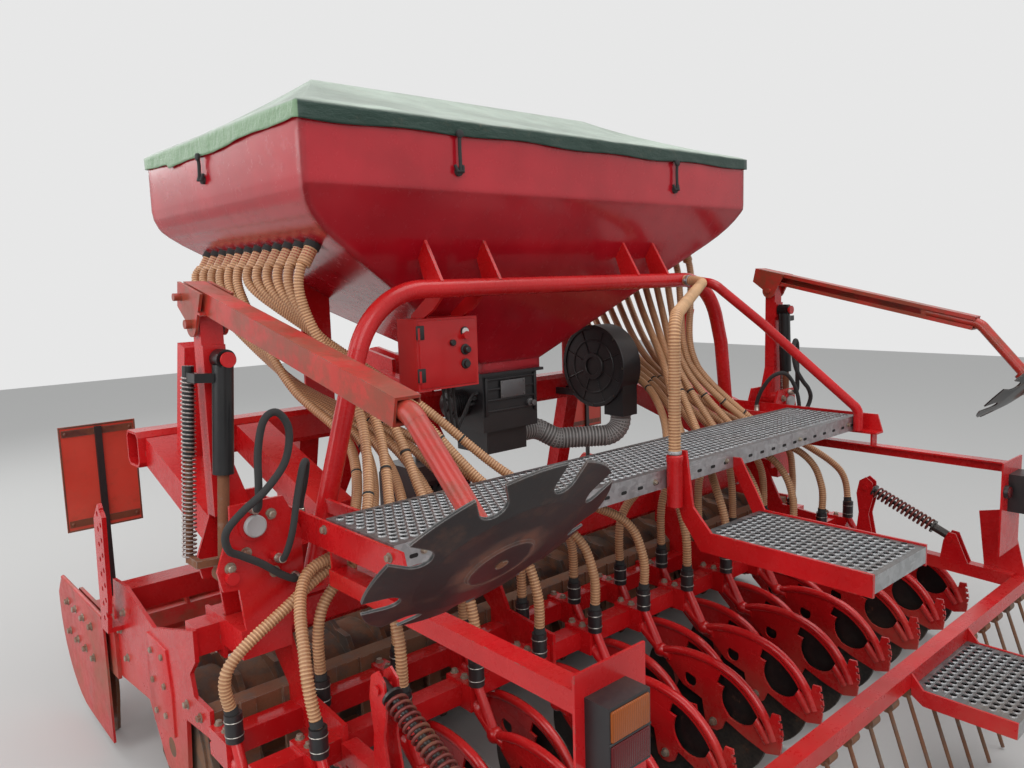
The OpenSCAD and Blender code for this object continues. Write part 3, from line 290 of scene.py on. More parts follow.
def dust_group():
    """Mask of dust on upper faces, thicker near the ground."""
    group, given, out = new_group("dust_layer", [("Amount", 0.3), ("Splash height", 0.6)], ["Mask"])
    place = object_place(group)
    normal = node(group, "ShaderNodeNewGeometry").outputs["Normal"]
    up = ramp(group, axes(group, normal)["Z"], 0.1, 1.0, 0.35, 1.0)
    below = maths(group, "DIVIDE", axes(group, place)["Z"], given["Splash height"])
    splash = ramp(group, below, 1.3, 0.15, 0.0, 0.6)
    clouds = noise(group, place, 5.0, 6.0, 0.62)
    grains = noise(group, place, 90.0, 3.0, 0.6)
    spread = ramp(group, plus(group, times(group, clouds, 0.75), times(group, grains, 0.25)), 0.36, 0.68)
    amount = plus(group, times(group, up, given["Amount"]), splash)
    feed(group, out["Mask"], times(group, amount, spread, True))
    return group


def rust_group():
    """Mask of rust in patches."""
    group, given, out = new_group("rust_patches", [("Amount", 0.4), ("Scale", 12.0)], ["Mask", "Grain"])
    place = object_place(group)
    patch = noise(group, place, given["Scale"], 8.0, 0.68)
    feed(group, out["Mask"], ramp(group, plus(group, patch, times(group, given["Amount"], 0.5)), 0.62, 0.80))
    feed(group, out["Grain"], noise(group, place, 160.0, 4.0, 0.7))
    return group


def spangle_group():
    """Crystals of a zinc coat, and its scratches."""
    group, given, out = new_group("zinc_spangle", [("Scale", 60.0)], ["Crystals", "Scratches"])
    place = object_place(group)
    cells = node(group, "ShaderNodeTexVoronoi", {"feature": "F1"}, Vector=place, Scale=given["Scale"])
    tone = node(group, "ShaderNodeSeparateColor", Color=cells.outputs["Color"])
    feed(group, out["Crystals"], tone.outputs[0])
    drawn = drawn_out(group, place, (12.0, 260.0, 80.0))
    feed(group, out["Scratches"], ramp(group, noise(group, drawn, 1.0, 2.0), 0.60, 0.72))
    return group


def cloth_weave_group():
    """Height of a coated weave that follows the piece's own UV map."""
    group, given, out = new_group("tarp_weave", [("Threads", 420.0)], ["Height"])
    cloth = axes(group, node(group, "ShaderNodeUVMap", {"uv_map": "cloth"}).outputs["UV"])
    waves = [maths(group, "ABSOLUTE", maths(group, "SINE", times(group, cloth[axis], given["Threads"])))
             for axis in ("X", "Y")]
    feed(group, out["Height"], times(group, *waves))
    return group


GROUP_MAKERS = {
    "edge_wear": edge_wear_group,
    "dust_layer": dust_group,
    "rust_patches": rust_group,
    "zinc_spangle": spangle_group,
    "tarp_weave": cloth_weave_group,
}


def shared(tree, name, **values):
    """Outputs of a placed copy of a shared shader group with its own values."""
    group = bpy.data.node_groups.get(name) or GROUP_MAKERS[name]()
    return node(tree, "ShaderNodeGroup", {"node_tree": group}, **values).outputs


# Finishes


def tint(base, gain, lift=0.0):
    """A colour made darker or lighter."""
    return tuple(min(1.0, c * gain + lift) for c in base)


def new_material(name):
    """A material with its tree and object coordinates."""
    material = bpy.data.materials.new(name)
    material.use_nodes = True
    return material, material.node_tree, object_place(material.node_tree)


def close_material(material, **sockets):
    """Links or sets the sockets of a material's Principled shader by name."""
    tree = material.node_tree
    for label, value in sockets.items():
        feed(tree, tree.nodes["Principled BSDF"].inputs[label.replace("_", " ")], value)
    return material


def dusted(tree, tone, amount, splash, cover, gain=1.0):
    """Dust over a tone, and the dust's mask."""
    dirt = shared(tree, "dust_layer", Amount=amount, Splash_height=splash)["Mask"]
    dust = tint(bpy.context.scene.drill_paint.dust_colour, gain)
    return mix(tree, times(tree, dirt, cover), tone, dust), dirt


def paint_finish(name, base, dust, wear, splash, gloss, rust, coat, roll=0.0):
    """Sprayed enamel with orange peel, fading, dust, chips and bare steel under them, and rolled bends."""
    material, tree, place = new_material(name)
    fade = ramp(tree, noise(tree, place, 3.2, 4.0), 0.30, 0.75)
    tone = mix(tree, fade, tint(base, 0.84), tint(base, 1.12, 0.006))
    chips = shared(tree, "edge_wear", Amount=wear, Scale=34.0)["Mask"]
    patches = shared(tree, "rust_patches", Amount=rust, Scale=9.0)
    metal = mix(tree, patches["Grain"], (0.24, 0.19, 0.16), (0.11, 0.055, 0.035))
    worn = mix(tree, chips, tone, metal)
    rusted = mix(tree, times(tree, patches["Mask"], rust * 1.6, True), worn, (0.20, 0.060, 0.028))
    dust_share = dust * bpy.context.scene.drill_paint.dust / 0.30
    tone, dirt = dusted(tree, rusted, dust_share, splash, 0.85)
    rough = blend_value(tree, chips, blend_value(tree, dirt, gloss, 0.82), 0.5)
    smear = ramp(tree, noise(tree, place, 22.0, 5.0, 0.7), 0.42, 0.75)
    rough = plus(tree, rough, times(tree, smear, 0.14), True)
    rolled = None
    if roll > 0:
        rolled = node(tree, "ShaderNodeBevel", {"samples": 6}, Radius=roll).outputs["Normal"]
    peel = bump(tree, noise(tree, place, 240.0, 2.0), 0.10, 0.0006, rolled)
    normal = bump(tree, chips, -0.35, 0.0006, peel)
    return close_material(material, Base_Color=tone, Roughness=rough, Normal=normal, IOR=1.42,
                          Coat_Weight=blend_value(tree, dirt, coat, 0.0), Coat_Roughness=0.10)


def red_finish(name, gains, lifts, dust, wear, splash, gloss, rust, coat):
    """Enamel in the machine's red, made darker or lighter, with a share of its wear."""
    paint = bpy.context.scene.drill_paint
    base = tuple(c * gain + lift for c, gain, lift in zip(paint.red, gains, lifts))
    return paint_finish(name, base, dust, paint.wear * wear, splash, gloss, rust, coat)


def hopper_finish(name, *values):
    """Enamel in the hopper's own red."""
    return paint_finish(name, tuple(bpy.context.scene.drill_paint.hopper_red), *values)


def zinc_finish(name, gain):
    """Hot-dipped zinc with spangle, dull patches, soil and scratches; a low gain makes it darker where it is
    trodden, partly wear and partly painted shade.
    """
    material, tree, _ = new_material(name)
    zinc = tint(bpy.context.scene.drill_paint.zinc, gain)
    parts = shared(tree, "zinc_spangle", Scale=70.0)
    tone = mix(tree, parts["Crystals"], tint(zinc, 0.80), tint(zinc, 1.15))
    tone = mix(tree, times(tree, parts["Scratches"], 0.35), tone, (0.72, 0.72, 0.72))
    tone, dirt = dusted(tree, tone, 0.30, 0.4, 0.8, 0.8)
    rough = blend_value(tree, dirt, blend_value(tree, parts["Crystals"], 0.34, 0.50), 0.85)
    return close_material(material, Base_Color=tone, Roughness=rough,
                          Metallic=blend_value(tree, dirt, 0.75, 0.0),
                          Normal=bump(tree, parts["Crystals"], 0.12, 0.0004))


def iron_finish(name, base, rust, shine, metallic, soil, splash):
    """Bare or blacked steel with rust, soil and rubbed edges."""
    material, tree, place = new_material(name)
    patches = shared(tree, "rust_patches", Amount=rust, Scale=14.0)
    tone = mix(tree, noise(tree, place, 18.0, 5.0), tint(base, 0.7), tint(base, 1.3, 0.01))
    rusty = mix(tree, patches["Grain"], (0.13, 0.045, 0.020), (0.26, 0.10, 0.045))
    tone = mix(tree, patches["Mask"], tone, rusty)
    edge = shared(tree, "edge_wear", Amount=0.5, Scale=45.0)["Mask"]
    tone = mix(tree, times(tree, edge, 0.6), tone, (0.34, 0.32, 0.30))
    tone, dirt = dusted(tree, tone, soil, splash, 0.8, 0.62)
    rough = blend_value(tree, dirt, blend_value(tree, patches["Mask"], shine, 0.85), 0.9)
    metal = blend_value(tree, maths(tree, "MAXIMUM", patches["Mask"], dirt), metallic, 0.0)
    return close_material(material, Base_Color=tone, Roughness=rough, Metallic=metal,
                          Normal=bump(tree, patches["Grain"], 0.22, 0.0008))


def plastic_finish(name, base, gloss, dust):
    """Moulded plastic or rubber with a fine grain and dust."""
    material, tree, place = new_material(name)
    tone = mix(tree, noise(tree, place, 12.0, 5.0), tint(base, 0.78), tint(base, 1.2, 0.004))
    tone, dirt = dusted(tree, tone, dust, 0.4, 0.75)
    return close_material(material, Base_Color=tone, Roughness=blend_value(tree, dirt, gloss, 0.85),
                          Normal=bump(tree, noise(tree, place, 420.0, 2.0), 0.12, 0.0005))


def hose_finish(name, base, groove):
    """Ribbed plastic, stained in places, with painted shade between its ribs."""
    material, tree, place = new_material(name)
    stains = ramp(tree, noise(tree, place, 7.0, 6.0, 0.7), 0.35, 0.72)
    tone = mix(tree, stains, tint(base, 1.12), tint(base, 0.74))
    # Painted shade: between the ribs the darker colour takes over, and only the crests keep the hose's tone
    crest = node(tree, "ShaderNodeAttribute", {"attribute_name": "crest"}).outputs["Fac"]
    tone = mix(tree, ramp(tree, crest, 0.05, 0.75), groove, tone)
    tone, dirt = dusted(tree, tone, 0.16, 0.55, 0.6, 0.8)
    return close_material(material, Base_Color=tone, Roughness=blend_value(tree, dirt, 0.42, 0.8),
                          Normal=bump(tree, noise(tree, place, 200.0, 3.0), 0.12, 0.0006))


def tarp_finish(name):
    """Coated cloth: faded, dusty and pale on the roof, where the paleness is partly a painted reflection of the
    sky, dark on the skirt, woven and creased.
    """
    cover = bpy.context.scene.drill_cover
    material, tree, place = new_material(name)
    where = axes(tree, place)
    edge = plus(tree, where["Z"], times(tree, noise(tree, place, 6.0, 3.0), 0.006))
    roof = ramp(tree, edge, 2.128, 2.140)
    fade = noise(tree, place, 2.4, 5.0, 0.6)
    # Painted reflection: the roof's pale colour stands partly for the sky's reflection on the cloth and partly
    # for fading and dust
    top = mix(tree, ramp(tree, fade, 0.3, 0.75), tint(cover.top, 0.72), tint(cover.top, 1.30))
    end = plus(tree, where["X"], times(tree, fade, 0.004))
    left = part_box("hopper_cover")[0].x
    skirt = mix(tree, ramp(tree, end, left + 0.012, left + 0.006), tuple(cover.skirt), (0.20, 0.33, 0.19))
    tone = mix(tree, roof, skirt, top)
    streaks = ramp(tree, noise(tree, place, 14.0, 6.0, 0.75), 0.54, 0.82)
    soiled = times(tree, streaks, ramp(tree, edge, 2.10, 2.15, 0.12, 0.45))
    tone = mix(tree, soiled, tone, tint(bpy.context.scene.drill_paint.dust_colour, 1.3))
    creases = noise(tree, drawn_out(tree, place, (1.0, 4.5, 3.0), 0.35), 5.0, 5.0, 0.6)
    normal = bump(tree, shared(tree, "tarp_weave", Threads=2600.0)["Height"], 0.25, 0.0006)
    normal = bump(tree, noise(tree, place, 26.0, 4.0), 0.20, 0.004, normal)
    normal = bump(tree, creases, 0.55, 0.020, normal)
    rough = blend_value(tree, roof, 0.46, 0.55)
    return close_material(material, Base_Color=tone, Roughness=rough, Normal=normal, Sheen_Weight=0.10,
                          Sheen_Roughness=0.4)


def lens_finish(name, base):
    """Ribbed lamp lens."""
    material, tree, place = new_material(name)
    ribs = node(tree, "ShaderNodeTexWave", {"bands_direction": "X"}, Vector=place, Scale=60.0).outputs["Fac"]
    tone = mix(tree, ribs, tint(base, 0.75), tint(base, 1.1))
    return close_material(material, Base_Color=tone, Roughness=0.20, Coat_Weight=0.1, IOR=1.38,
                          Normal=bump(tree, ribs, 0.4, 0.0012))


DISC_HUB = Vector((1.370, -1.220, 1.165))


def marker_disc_finish(name):
    """Blackened marker disc with a rusty ring round its dark hub plate."""
    material, tree, place = new_material(name)
    side = node(tree, "ShaderNodeVectorMath", {"operation": "ABSOLUTE"}, Vector=place)
    away = node(tree, "ShaderNodeVectorMath", {"operation": "DISTANCE"}, Vector=side.outputs[0])
    away.inputs[1].default_value = [abs(c) for c in DISC_HUB]
    shift = maths(tree, "SUBTRACT", noise(tree, place, 30.0, 5.0), 0.5)
    reach = plus(tree, away.outputs["Value"], times(tree, shift, 0.030))
    ring = times(tree, ramp(tree, reach, 0.054, 0.062), ramp(tree, reach, 0.104, 0.070))
    ring = times(tree, ring, ramp(tree, noise(tree, place, 26.0, 6.0, 0.7), 0.30, 0.62, 0.25, 1.0))
    grain = shared(tree, "rust_patches", Amount=0.25, Scale=16.0)
    tone = mix(tree, noise(tree, place, 9.0, 6.0), (0.014, 0.014, 0.015), (0.040, 0.038, 0.038))
    tone = mix(tree, times(tree, grain["Mask"], 0.5), tone, (0.11, 0.06, 0.04))
    rusty = mix(tree, grain["Grain"], (0.13, 0.038, 0.022), (0.22, 0.080, 0.045))
    tone = mix(tree, times(tree, ring, 0.85), tone, rusty)
    edge = shared(tree, "edge_wear", Amount=0.7, Scale=40.0)["Mask"]
    tone = mix(tree, times(tree, edge, 0.5), tone, (0.30, 0.29, 0.28))
    return close_material(material, Base_Color=tone, Metallic=blend_value(tree, ring, 0.55, 0.0),
                          Roughness=blend_value(tree, ring, 0.40, 0.8),
                          Normal=bump(tree, grain["Grain"], 0.2, 0.0008))


# Columns: gains and lifts of the red, dust, share of the wear, splash height, gloss, rust, coat
REDS = {
    "frame_red": ((1.00, 1.00, 1.00), (0, 0, 0), 0.12, 1.0, 0.40, 0.24, 0.10, 0.12),
    "coulter_red": ((1.00, 1.00, 1.00), (0, 0, 0), 0.14, 0.8, 0.28, 0.20, 0.05, 0.35),
    "harrow_red": ((0.96, 0.96, 0.96), (0, 0, 0), 0.28, 1.2, 0.62, 0.34, 0.38, 0.12),
    "shield_red": ((0.94, 0.94, 0.94), (0, 0, 0), 0.26, 1.3, 0.75, 0.32, 0.24, 0.12),
    # arm_red: its green and blue lifts, with its extra dust and wear, turn the red towards tan: partly dust and
    # worn paint, partly a painted reflection of the tan ground in the arm's channel
    "arm_red": ((0.92, 1.00, 1.00), (0, 0.022, 0.010), 0.38, 1.3, 0.50, 0.28, 0.42, 0.20),
    "box_red": ((0.95, 0.95, 0.95), (0, 0, 0), 0.20, 0.9375, 0.40, 0.30, 0.05, 0.15),
}
# Columns: dust, wear, splash height, gloss, rust, coat, radius of the rolled bends
HOPPER_PAINT = {"hopper_red": (0.06, 0.10, 0.3, 0.19, 0.0, 0.38, 0.030)}
# Columns: colour, dust, wear, splash height, gloss, rust, coat
ENAMELS = {
    "barrel_black": ((0.006, 0.006, 0.007), 0.04, 0.15, 0.2, 0.30, 0.02, 0.1),
    "black_enamel": ((0.018, 0.018, 0.020), 0.28, 0.30, 0.5, 0.32, 0.05, 0.2),
    "board_orange": ((0.64, 0.054, 0.032), 0.35, 0.50, 0.8, 0.34, 0.20, 0.2),
    "board_strip": ((0.085, 0.020, 0.017), 0.50, 0.70, 0.6, 0.42, 0.50, 0.1),
}
# Columns: colour, rust, roughness, metallic, soil, splash height
IRONS = {
    "packer_iron": ((0.075, 0.062, 0.055), 0.45, 0.50, 0.50, 0.60, 0.70),
    "seed_disc_steel": ((0.028, 0.027, 0.028), 0.10, 0.36, 0.70, 0.30, 0.22),
    "tine_steel": ((0.16, 0.12, 0.10), 0.55, 0.45, 0.60, 0.70, 0.50),
    "scraper_steel": ((0.13, 0.09, 0.075), 0.60, 0.50, 0.50, 0.60, 0.70),
    "rusty_rod": ((0.30, 0.24, 0.20), 0.62, 0.35, 0.70, 0.15, 0.30),
    "crimp_zinc": ((0.45, 0.42, 0.36), 0.10, 0.35, 0.90, 0.15, 0.30),
    "cast_grey": ((0.16, 0.16, 0.165), 0.08, 0.50, 0.60, 0.30, 0.30),
    "clip_wire": ((0.42, 0.40, 0.36), 0.15, 0.35, 0.90, 0.10, 0.20),
    "pressure_spring": ((0.16, 0.020, 0.016), 0.25, 0.36, 0.30, 0.15, 0.30),
    "spring_steel": ((0.36, 0.31, 0.30), 0.20, 0.34, 0.85, 0.12, 0.30),
    "bolt_zinc": ((0.42, 0.38, 0.30), 0.35, 0.38, 0.85, 0.25, 0.40),
}
# Columns: colour, roughness, dust
PLASTICS = {
    "black_plastic": ((0.013, 0.013, 0.015), 0.38, 0.14),
    "black_rubber": ((0.009, 0.009, 0.010), 0.36, 0.08),
    "duct_grey": ((0.30, 0.30, 0.29), 0.55, 0.35),
    # Painted shade: near-black caps in the tread's holes and marks in its slots stand for openings in shade
    "tread_hole": ((0.008, 0.008, 0.008), 0.90, 0.05),
    "cap_grey": ((0.42, 0.42, 0.42), 0.45, 0.15),
    "switch_black": ((0.012, 0.012, 0.013), 0.35, 0.10),
    "button_white": ((0.78, 0.78, 0.76), 0.35, 0.10),
}
LENSES = {"lens_amber": ((0.33, 0.070, 0.004),), "lens_red": ((0.11, 0.002, 0.004),)}
# Columns: colour, colour of the painted shade between the ribs
RIBBED_GREYS = {"duct_ribs_grey": ((0.34, 0.33, 0.32), (0.10, 0.095, 0.09))}
# Column: share of the zinc's brightness
# The darker copy for the plates' tops is partly trodden, worn zinc and partly painted shade
ZINCS = {"zinc_plate": (1.0,), "trodden_zinc": (0.42,)}
MARKER_DISCS = {"marker_disc_steel": ()}
FINISHES = (
    (red_finish, REDS),
    (hopper_finish, HOPPER_PAINT),
    (paint_finish, ENAMELS),
    (iron_finish, IRONS),
    (plastic_finish, PLASTICS),
    (lens_finish, LENSES),
    (hose_finish, RIBBED_GREYS),
    (zinc_finish, ZINCS),
    (marker_disc_finish, MARKER_DISCS),
)


def finish(name):
    """A finish by its name, made from its table when it is first asked for."""
    made = bpy.data.materials.get(name)
    for maker, table in FINISHES:
        if made is None and name in table:
            made = maker(name, *table[name])
    return made


# Mesh helpers


def finish_node(name, material, parts=()):
    """Puts a finish on a CAD node, and others on the faces that a test of their middle picks."""
    data = NODES[name].data
    data.materials.clear()
    data.materials.append(finish(material))
    for index, (other, test) in enumerate(parts, start=1):
        data.materials.append(finish(other))
        for face in data.polygons:
            if test(face.center):
                face.material_index = index


def as_piece(name, mesh, body, materials=()):
    """An object at the origin that rides on a body, or on none yet."""
    piece = placed(name, mesh)
    for material in materials:
        piece.data.materials.append(finish(material))
    if body:
        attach(piece, body)
    return piece


def placed(name, data):
    """An object in the scene."""
    made = bpy.data.objects.new(name, data)
    bpy.context.scene.collection.objects.link(made)
    return made


def into_mesh(name, bm):
    """A mesh from a bmesh, which is freed."""
    mesh = bpy.data.meshes.new(name)
    bm.to_mesh(mesh)
    bm.free()
    return mesh


SMOOTH_ANGLE = math.radians(40)


def from_bmesh(name, bm, slot_name, *materials, body="machine"):
    """A piece from a bmesh, with normals outwards and smooth shading under an angle."""
    bmesh.ops.remove_doubles(bm, verts=bm.verts, dist=1e-6)
    bmesh.ops.recalc_face_normals(bm, faces=bm.faces)
    for edge in bm.edges:
        edge.smooth = len(edge.link_faces) == 2 and edge.calc_face_angle(0.0) < SMOOTH_ANGLE
    for face in bm.faces:
        face.smooth = True
    return as_piece(name, into_mesh(name, bm), body, materials)


def add_block(bm, low, high, radius=0.0, segments=2, index=0):
    """A block between two corners with rounded edges."""
    low = Vector(low)
    high = Vector(high)
    others = set(bm.faces)
    made = bmesh.ops.create_cube(bm, size=1.0)["verts"]
    size = high - low
    for vert in made:
        vert.co = vert.co * size + (low + high) / 2
    if radius > 0:
        edges = {edge for vert in made for edge in vert.link_edges}
        bmesh.ops.bevel(bm, geom=list(edges), offset=radius, segments=segments, profile=0.5,
                        affect="EDGES", clamp_overlap=True)
    for face in bm.faces:
        if face not in others:
            face.material_index = index


def circle(middle, radius, sides, across, other):
    """Points round a middle in the plane of two directions."""
    turns = [2 * math.pi * step / sides for step in range(sides)]
    return [middle + (across * math.cos(turn) + other * math.sin(turn)) * radius for turn in turns]


def skin(bm, rings, caps=True, index=0):
    """Faces between rings of points, where a ring of one point is a tip, and flat faces over the ends."""
    rings = [[bm.verts.new(point) for point in ring] for ring in rings]
    for first, second in zip(rings, rings[1:]):
        sides = max(len(first), len(second))
        for step in range(sides if sides > 1 else 0):
            after = (step + 1) % sides
            corners = [first[step % len(first)], first[after % len(first)],
                       second[after % len(second)], second[step % len(second)]]
            bm.faces.new(dict.fromkeys(corners)).material_index = index
    if caps:
        bm.faces.new(reversed(rings[0])).material_index = index
        bm.faces.new(rings[-1]).material_index = index


def add_lathe(bm, profile, start, direction, sides=24, index=0):
    """A turned piece: profile pairs (distance along the axis, radius) from a start point."""
    axis = Vector(direction).normalized()
    across = axis.orthogonal().normalized()
    start = Vector(start)
    rings = [circle(start + axis * along, radius, sides if radius else 1, across, axis.cross(across))
             for along, radius in profile]
    skin(bm, rings, False, index)


def add_pin(bm, profile, start, direction, sides=24, index=0):
    """A turned piece that is closed over both ends."""
    ends = [(profile[0][0], 0), *profile, (profile[-1][0], 0)]
    add_lathe(bm, ends, start, direction, sides, index)


def add_tube(bm, points, radius, sides=10):
    """A closed round tube through points."""
    points = [Vector(point) for point in points]
    last = len(points) - 1
    across = (points[1] - points[0]).orthogonal().normalized()
    rings = []
    for step, point in enumerate(points):
        ahead = (points[min(step + 1, last)] - points[max(step - 1, 0)]).normalized()
        across = (across - ahead * across.dot(ahead)).normalized()
        rings.append(circle(point, radius, sides, across, ahead.cross(across)))
    skin(bm, rings)


def add_plate(bm, outline, *faces_x):
    """A plate of an outline in Y and Z between two faces."""
    skin(bm, [[Vector((x, y, z)) for y, z in outline] for x in faces_x])


def smooth_path(points, steps):
    """A Catmull-Rom curve through points."""
    points = [Vector(point) for point in points]
    last = len(points) - 1
    path = []
    for index in range(last):
        before, first, second, after = (points[min(max(index + step, 0), last)] for step in (-1, 0, 1, 2))
        for step in range(steps):
            t = step / steps
            path.append(0.5 * ((2 * first) + (second - before) * t
                               + (2 * before - 5 * first + 4 * second - after) * t * t
                               + (3 * first - before - 3 * second + after) * t ** 3))
    path.append(points[-1])
    return path


def filleted(points, radius, steps):
    """A path of straight stretches with round bends."""
    points = [Vector(point) for point in points]
    path = [points[0]]
    for before, corner, after in zip(points, points[1:], points[2:]):
        back = (before - corner).normalized()
        ahead = (after - corner).normalized()
        half = back.angle(ahead) / 2
        reach = radius / math.tan(half)
        middle = corner + (back + ahead).normalized() * (radius / math.sin(half))
        first = (corner + back * reach - middle).normalized()
        second = (corner + ahead * reach - middle).normalized()
        path += [middle + first.slerp(second, step / steps) * radius for step in range(steps + 1)]
    path.append(points[-1])
    return path


def mirrored(points, side):
    """Points drawn on the left, or their mirror image on the right."""
    return [Vector((-point[0] * side, point[1], point[2])) for point in points]


def path_length(path):
    """Length of a path."""
    return sum((b - a).length for a, b in zip(path, path[1:]))


def stretch_of(path, first, last):
    """The part of a path between two distances from its start."""
    part = []
    gone = 0.0
    for here, there in zip(path, path[1:]):
        step = (there - here).length
        for mark in (first, last):
            if gone <= mark < gone + step:
                part.append((mark, here.lerp(there, (mark - gone) / step)))
        if first < gone + step < last:
            part.append((gone + step, there))
        gone += step
    return [place for _, place in sorted(part, key=lambda pair: pair[0])]


EASED_REACH = 0.560
EASED_GAP = 0.020
EASED_ROUNDS = 9


def eased(path):
    """A path in even steps, with its bends eased after the first step."""
    long = path_length(path)
    count = round(long / EASED_GAP)
    points = []
    walked = 0.0
    for start, end in zip(path, path[1:]):
        step = (end - start).length
        while len(points) < count and len(points) * long / count <= walked + step:
            points.append(start.lerp(end, (len(points) * long / count - walked) / step))
        walked += step
    points.append(path[-1])
    last = round(EASED_REACH / EASED_GAP)
    for _ in range(EASED_ROUNDS):
        held = points[1:last + 1]
        points[2:last] = [(a + 2 * b + c) / 4 for a, b, c in zip(held, held[1:], held[2:])]
    return points


# Geometry node trees for what repeats

SOCKETS = {"Geometry": "Geometry", "Sides": "Int", "Columns": "Int", "Rows": "Int", "Middle": "Vector",
           "Material": "Material", "Hole": "Material"}


def new_tree(name, *inputs):
    """A geometry tree with a geometry input and named inputs, which are numbers unless SOCKETS says else."""
    tree = bpy.data.node_groups.new(name, "GeometryNodeTree")
    for label in ("Geometry", *inputs):
        kind = "NodeSocket" + SOCKETS.get(label, "Float")
        tree.interface.new_socket(name=label, in_out="INPUT", socket_type=kind)
    tree.interface.new_socket(name="Geometry", in_out="OUTPUT", socket_type="NodeSocketGeometry")
    return tree, node(tree, "NodeGroupInput").outputs, node(tree, "NodeGroupOutput").inputs[0]


def out_of(tree, kind, settings=None, **inputs):
    """First output of a geometry node with its inputs linked or set by name."""
    return node(tree, "GeometryNode" + kind, settings, **inputs).outputs[0]


def lifted(tree, **axes_values):
    """A vector of numbers or sockets."""
    return node(tree, "ShaderNodeCombineXYZ", **axes_values).outputs[0]


def close_tree(tree, geometry, material, sink):
    """Realize Instances and Set Material at a tree's end."""
    real = out_of(tree, "RealizeInstances", Geometry=geometry)
    feed(tree, sink, out_of(tree, "SetMaterial", Geometry=real, Material=material))
    return tree


def swept(tree, curve, sides, radius, scale=None):
    """A smooth closed tube along a curve."""
    profile = out_of(tree, "CurvePrimitiveCircle", Resolution=sides, Radius=radius)
    more = {} if scale is None else {"Scale": scale}
    tube = out_of(tree, "CurveToMesh", Curve=curve, Profile_Curve=profile, Fill_Caps=True, **more)
    return out_of(tree, "SetShadeSmooth", Geometry=tube)


def ribbed_tree():
    """A tube along a curve whose every third ring stands out as a rib."""
    tree, given, sink = new_tree("ribbed_tube", "Radius", "Pitch", "Rib", "Sides", "Material")
    step = maths(tree, "DIVIDE", given["Pitch"], 3.0)
    points = out_of(tree, "ResampleCurve", {"mode": "LENGTH"}, Curve=given["Geometry"], Length=step)
    third = maths(tree, "MODULO", out_of(tree, "InputIndex"), 3.0)
    crest = maths(tree, "LESS_THAN", third, 0.5)
    # The crest mark lets a finish paint shade between the ribs
    marked = out_of(tree, "StoreNamedAttribute", {"data_type": "FLOAT", "domain": "POINT"}, Geometry=points,
                    Name="crest", Value=crest)
    size = plus(tree, given["Radius"], times(tree, crest, given["Rib"]))
    return close_tree(tree, swept(tree, marked, given["Sides"], 1.0, size), given["Material"], sink)


def tread_tree():
    """Raised perforations in staggered rows over a flat plate, each with a dark cap in its hole as painted
    shade.
    """
    tree, given, sink = new_tree("tread_perforations", "Columns", "Rows", "Size X", "Size Y", "Middle",
                                 "Radius", "Height", "Stagger", "Material", "Hole")
    grid = out_of(tree, "MeshGrid", Size_X=given["Size X"], Size_Y=given["Size Y"],
                  Vertices_X=given["Columns"], Vertices_Y=given["Rows"])
    odd = maths(tree, "MODULO", maths(tree, "MODULO", out_of(tree, "InputIndex"), given["Rows"]), 2.0)
    shift = lifted(tree, X=times(tree, odd, given["Stagger"]))
    rows = out_of(tree, "SetPosition", Geometry=grid, Offset=shift)
    there = out_of(tree, "Transform", Geometry=rows, Translation=given["Middle"])
    lip = times(tree, given["Radius"], 0.82)
    ring = out_of(tree, "MeshCone", {"fill_type": "NONE"}, Vertices=10, Radius_Top=lip,
                  Radius_Bottom=given["Radius"], Depth=given["Height"])
    # Painted shade: a dark cap closes each hole, where the real plate is open
    hole = out_of(tree, "MeshCone", {"fill_type": "NGON"}, Vertices=10, Radius_Top=times(tree, lip, 0.92),
                  Radius_Bottom=lip, Depth=given["Height"])
    inner = out_of(tree, "Transform", Geometry=hole, Scale=(1.0, 1.0, -1.0))
    flipped = out_of(tree, "FlipFaces", Mesh=inner)
    both = node(tree, "GeometryNodeJoinGeometry")
    for part, material in ((flipped, "Hole"), (ring, "Material")):
        feed(tree, both.inputs[0], out_of(tree, "SetMaterial", Geometry=part, Material=given[material]))
    spots = out_of(tree, "InstanceOnPoints", Points=there, Instance=both.outputs[0])
    feed(tree, sink, out_of(tree, "RealizeInstances", Geometry=spots))
    return tree


def bolt_tree():
    """Hexagon heads with washers on points, turned along each point's own direction."""
    tree, given, sink = new_tree("hexagon_bolts", "Size", "Material")
    size = given["Size"]
    washer = out_of(tree, "MeshCylinder", Vertices=14, Radius=times(tree, size, 1.35),
                    Depth=times(tree, size, 0.36))
    head = out_of(tree, "MeshCylinder", Vertices=6, Radius=size, Depth=times(tree, size, 0.9))
    crown = out_of(tree, "MeshCone", Vertices=12, Radius_Bottom=times(tree, size, 0.86),
                   Radius_Top=times(tree, size, 0.62), Depth=times(tree, size, 0.14))
    join = node(tree, "GeometryNodeJoinGeometry")
    for part, rise in ((washer, 0.0), (head, 0.62), (crown, 1.06)):
        up = lifted(tree, Z=times(tree, size, rise))
        feed(tree, join.inputs[0], out_of(tree, "Transform", Geometry=part, Translation=up))
    facing = out_of(tree, "InputNamedAttribute", {"data_type": "FLOAT_VECTOR"}, Name="facing")
    grow = out_of(tree, "InputNamedAttribute", {"data_type": "FLOAT"}, Name="grow")
    turn = node(tree, "FunctionNodeAlignRotationToVector", {"axis": "Z"}, Vector=facing).outputs[0]
    spots = out_of(tree, "InstanceOnPoints", Points=given["Geometry"], Instance=join.outputs[0],
                   Rotation=turn, Scale=grow)
    return close_tree(tree, spots, given["Material"], sink)


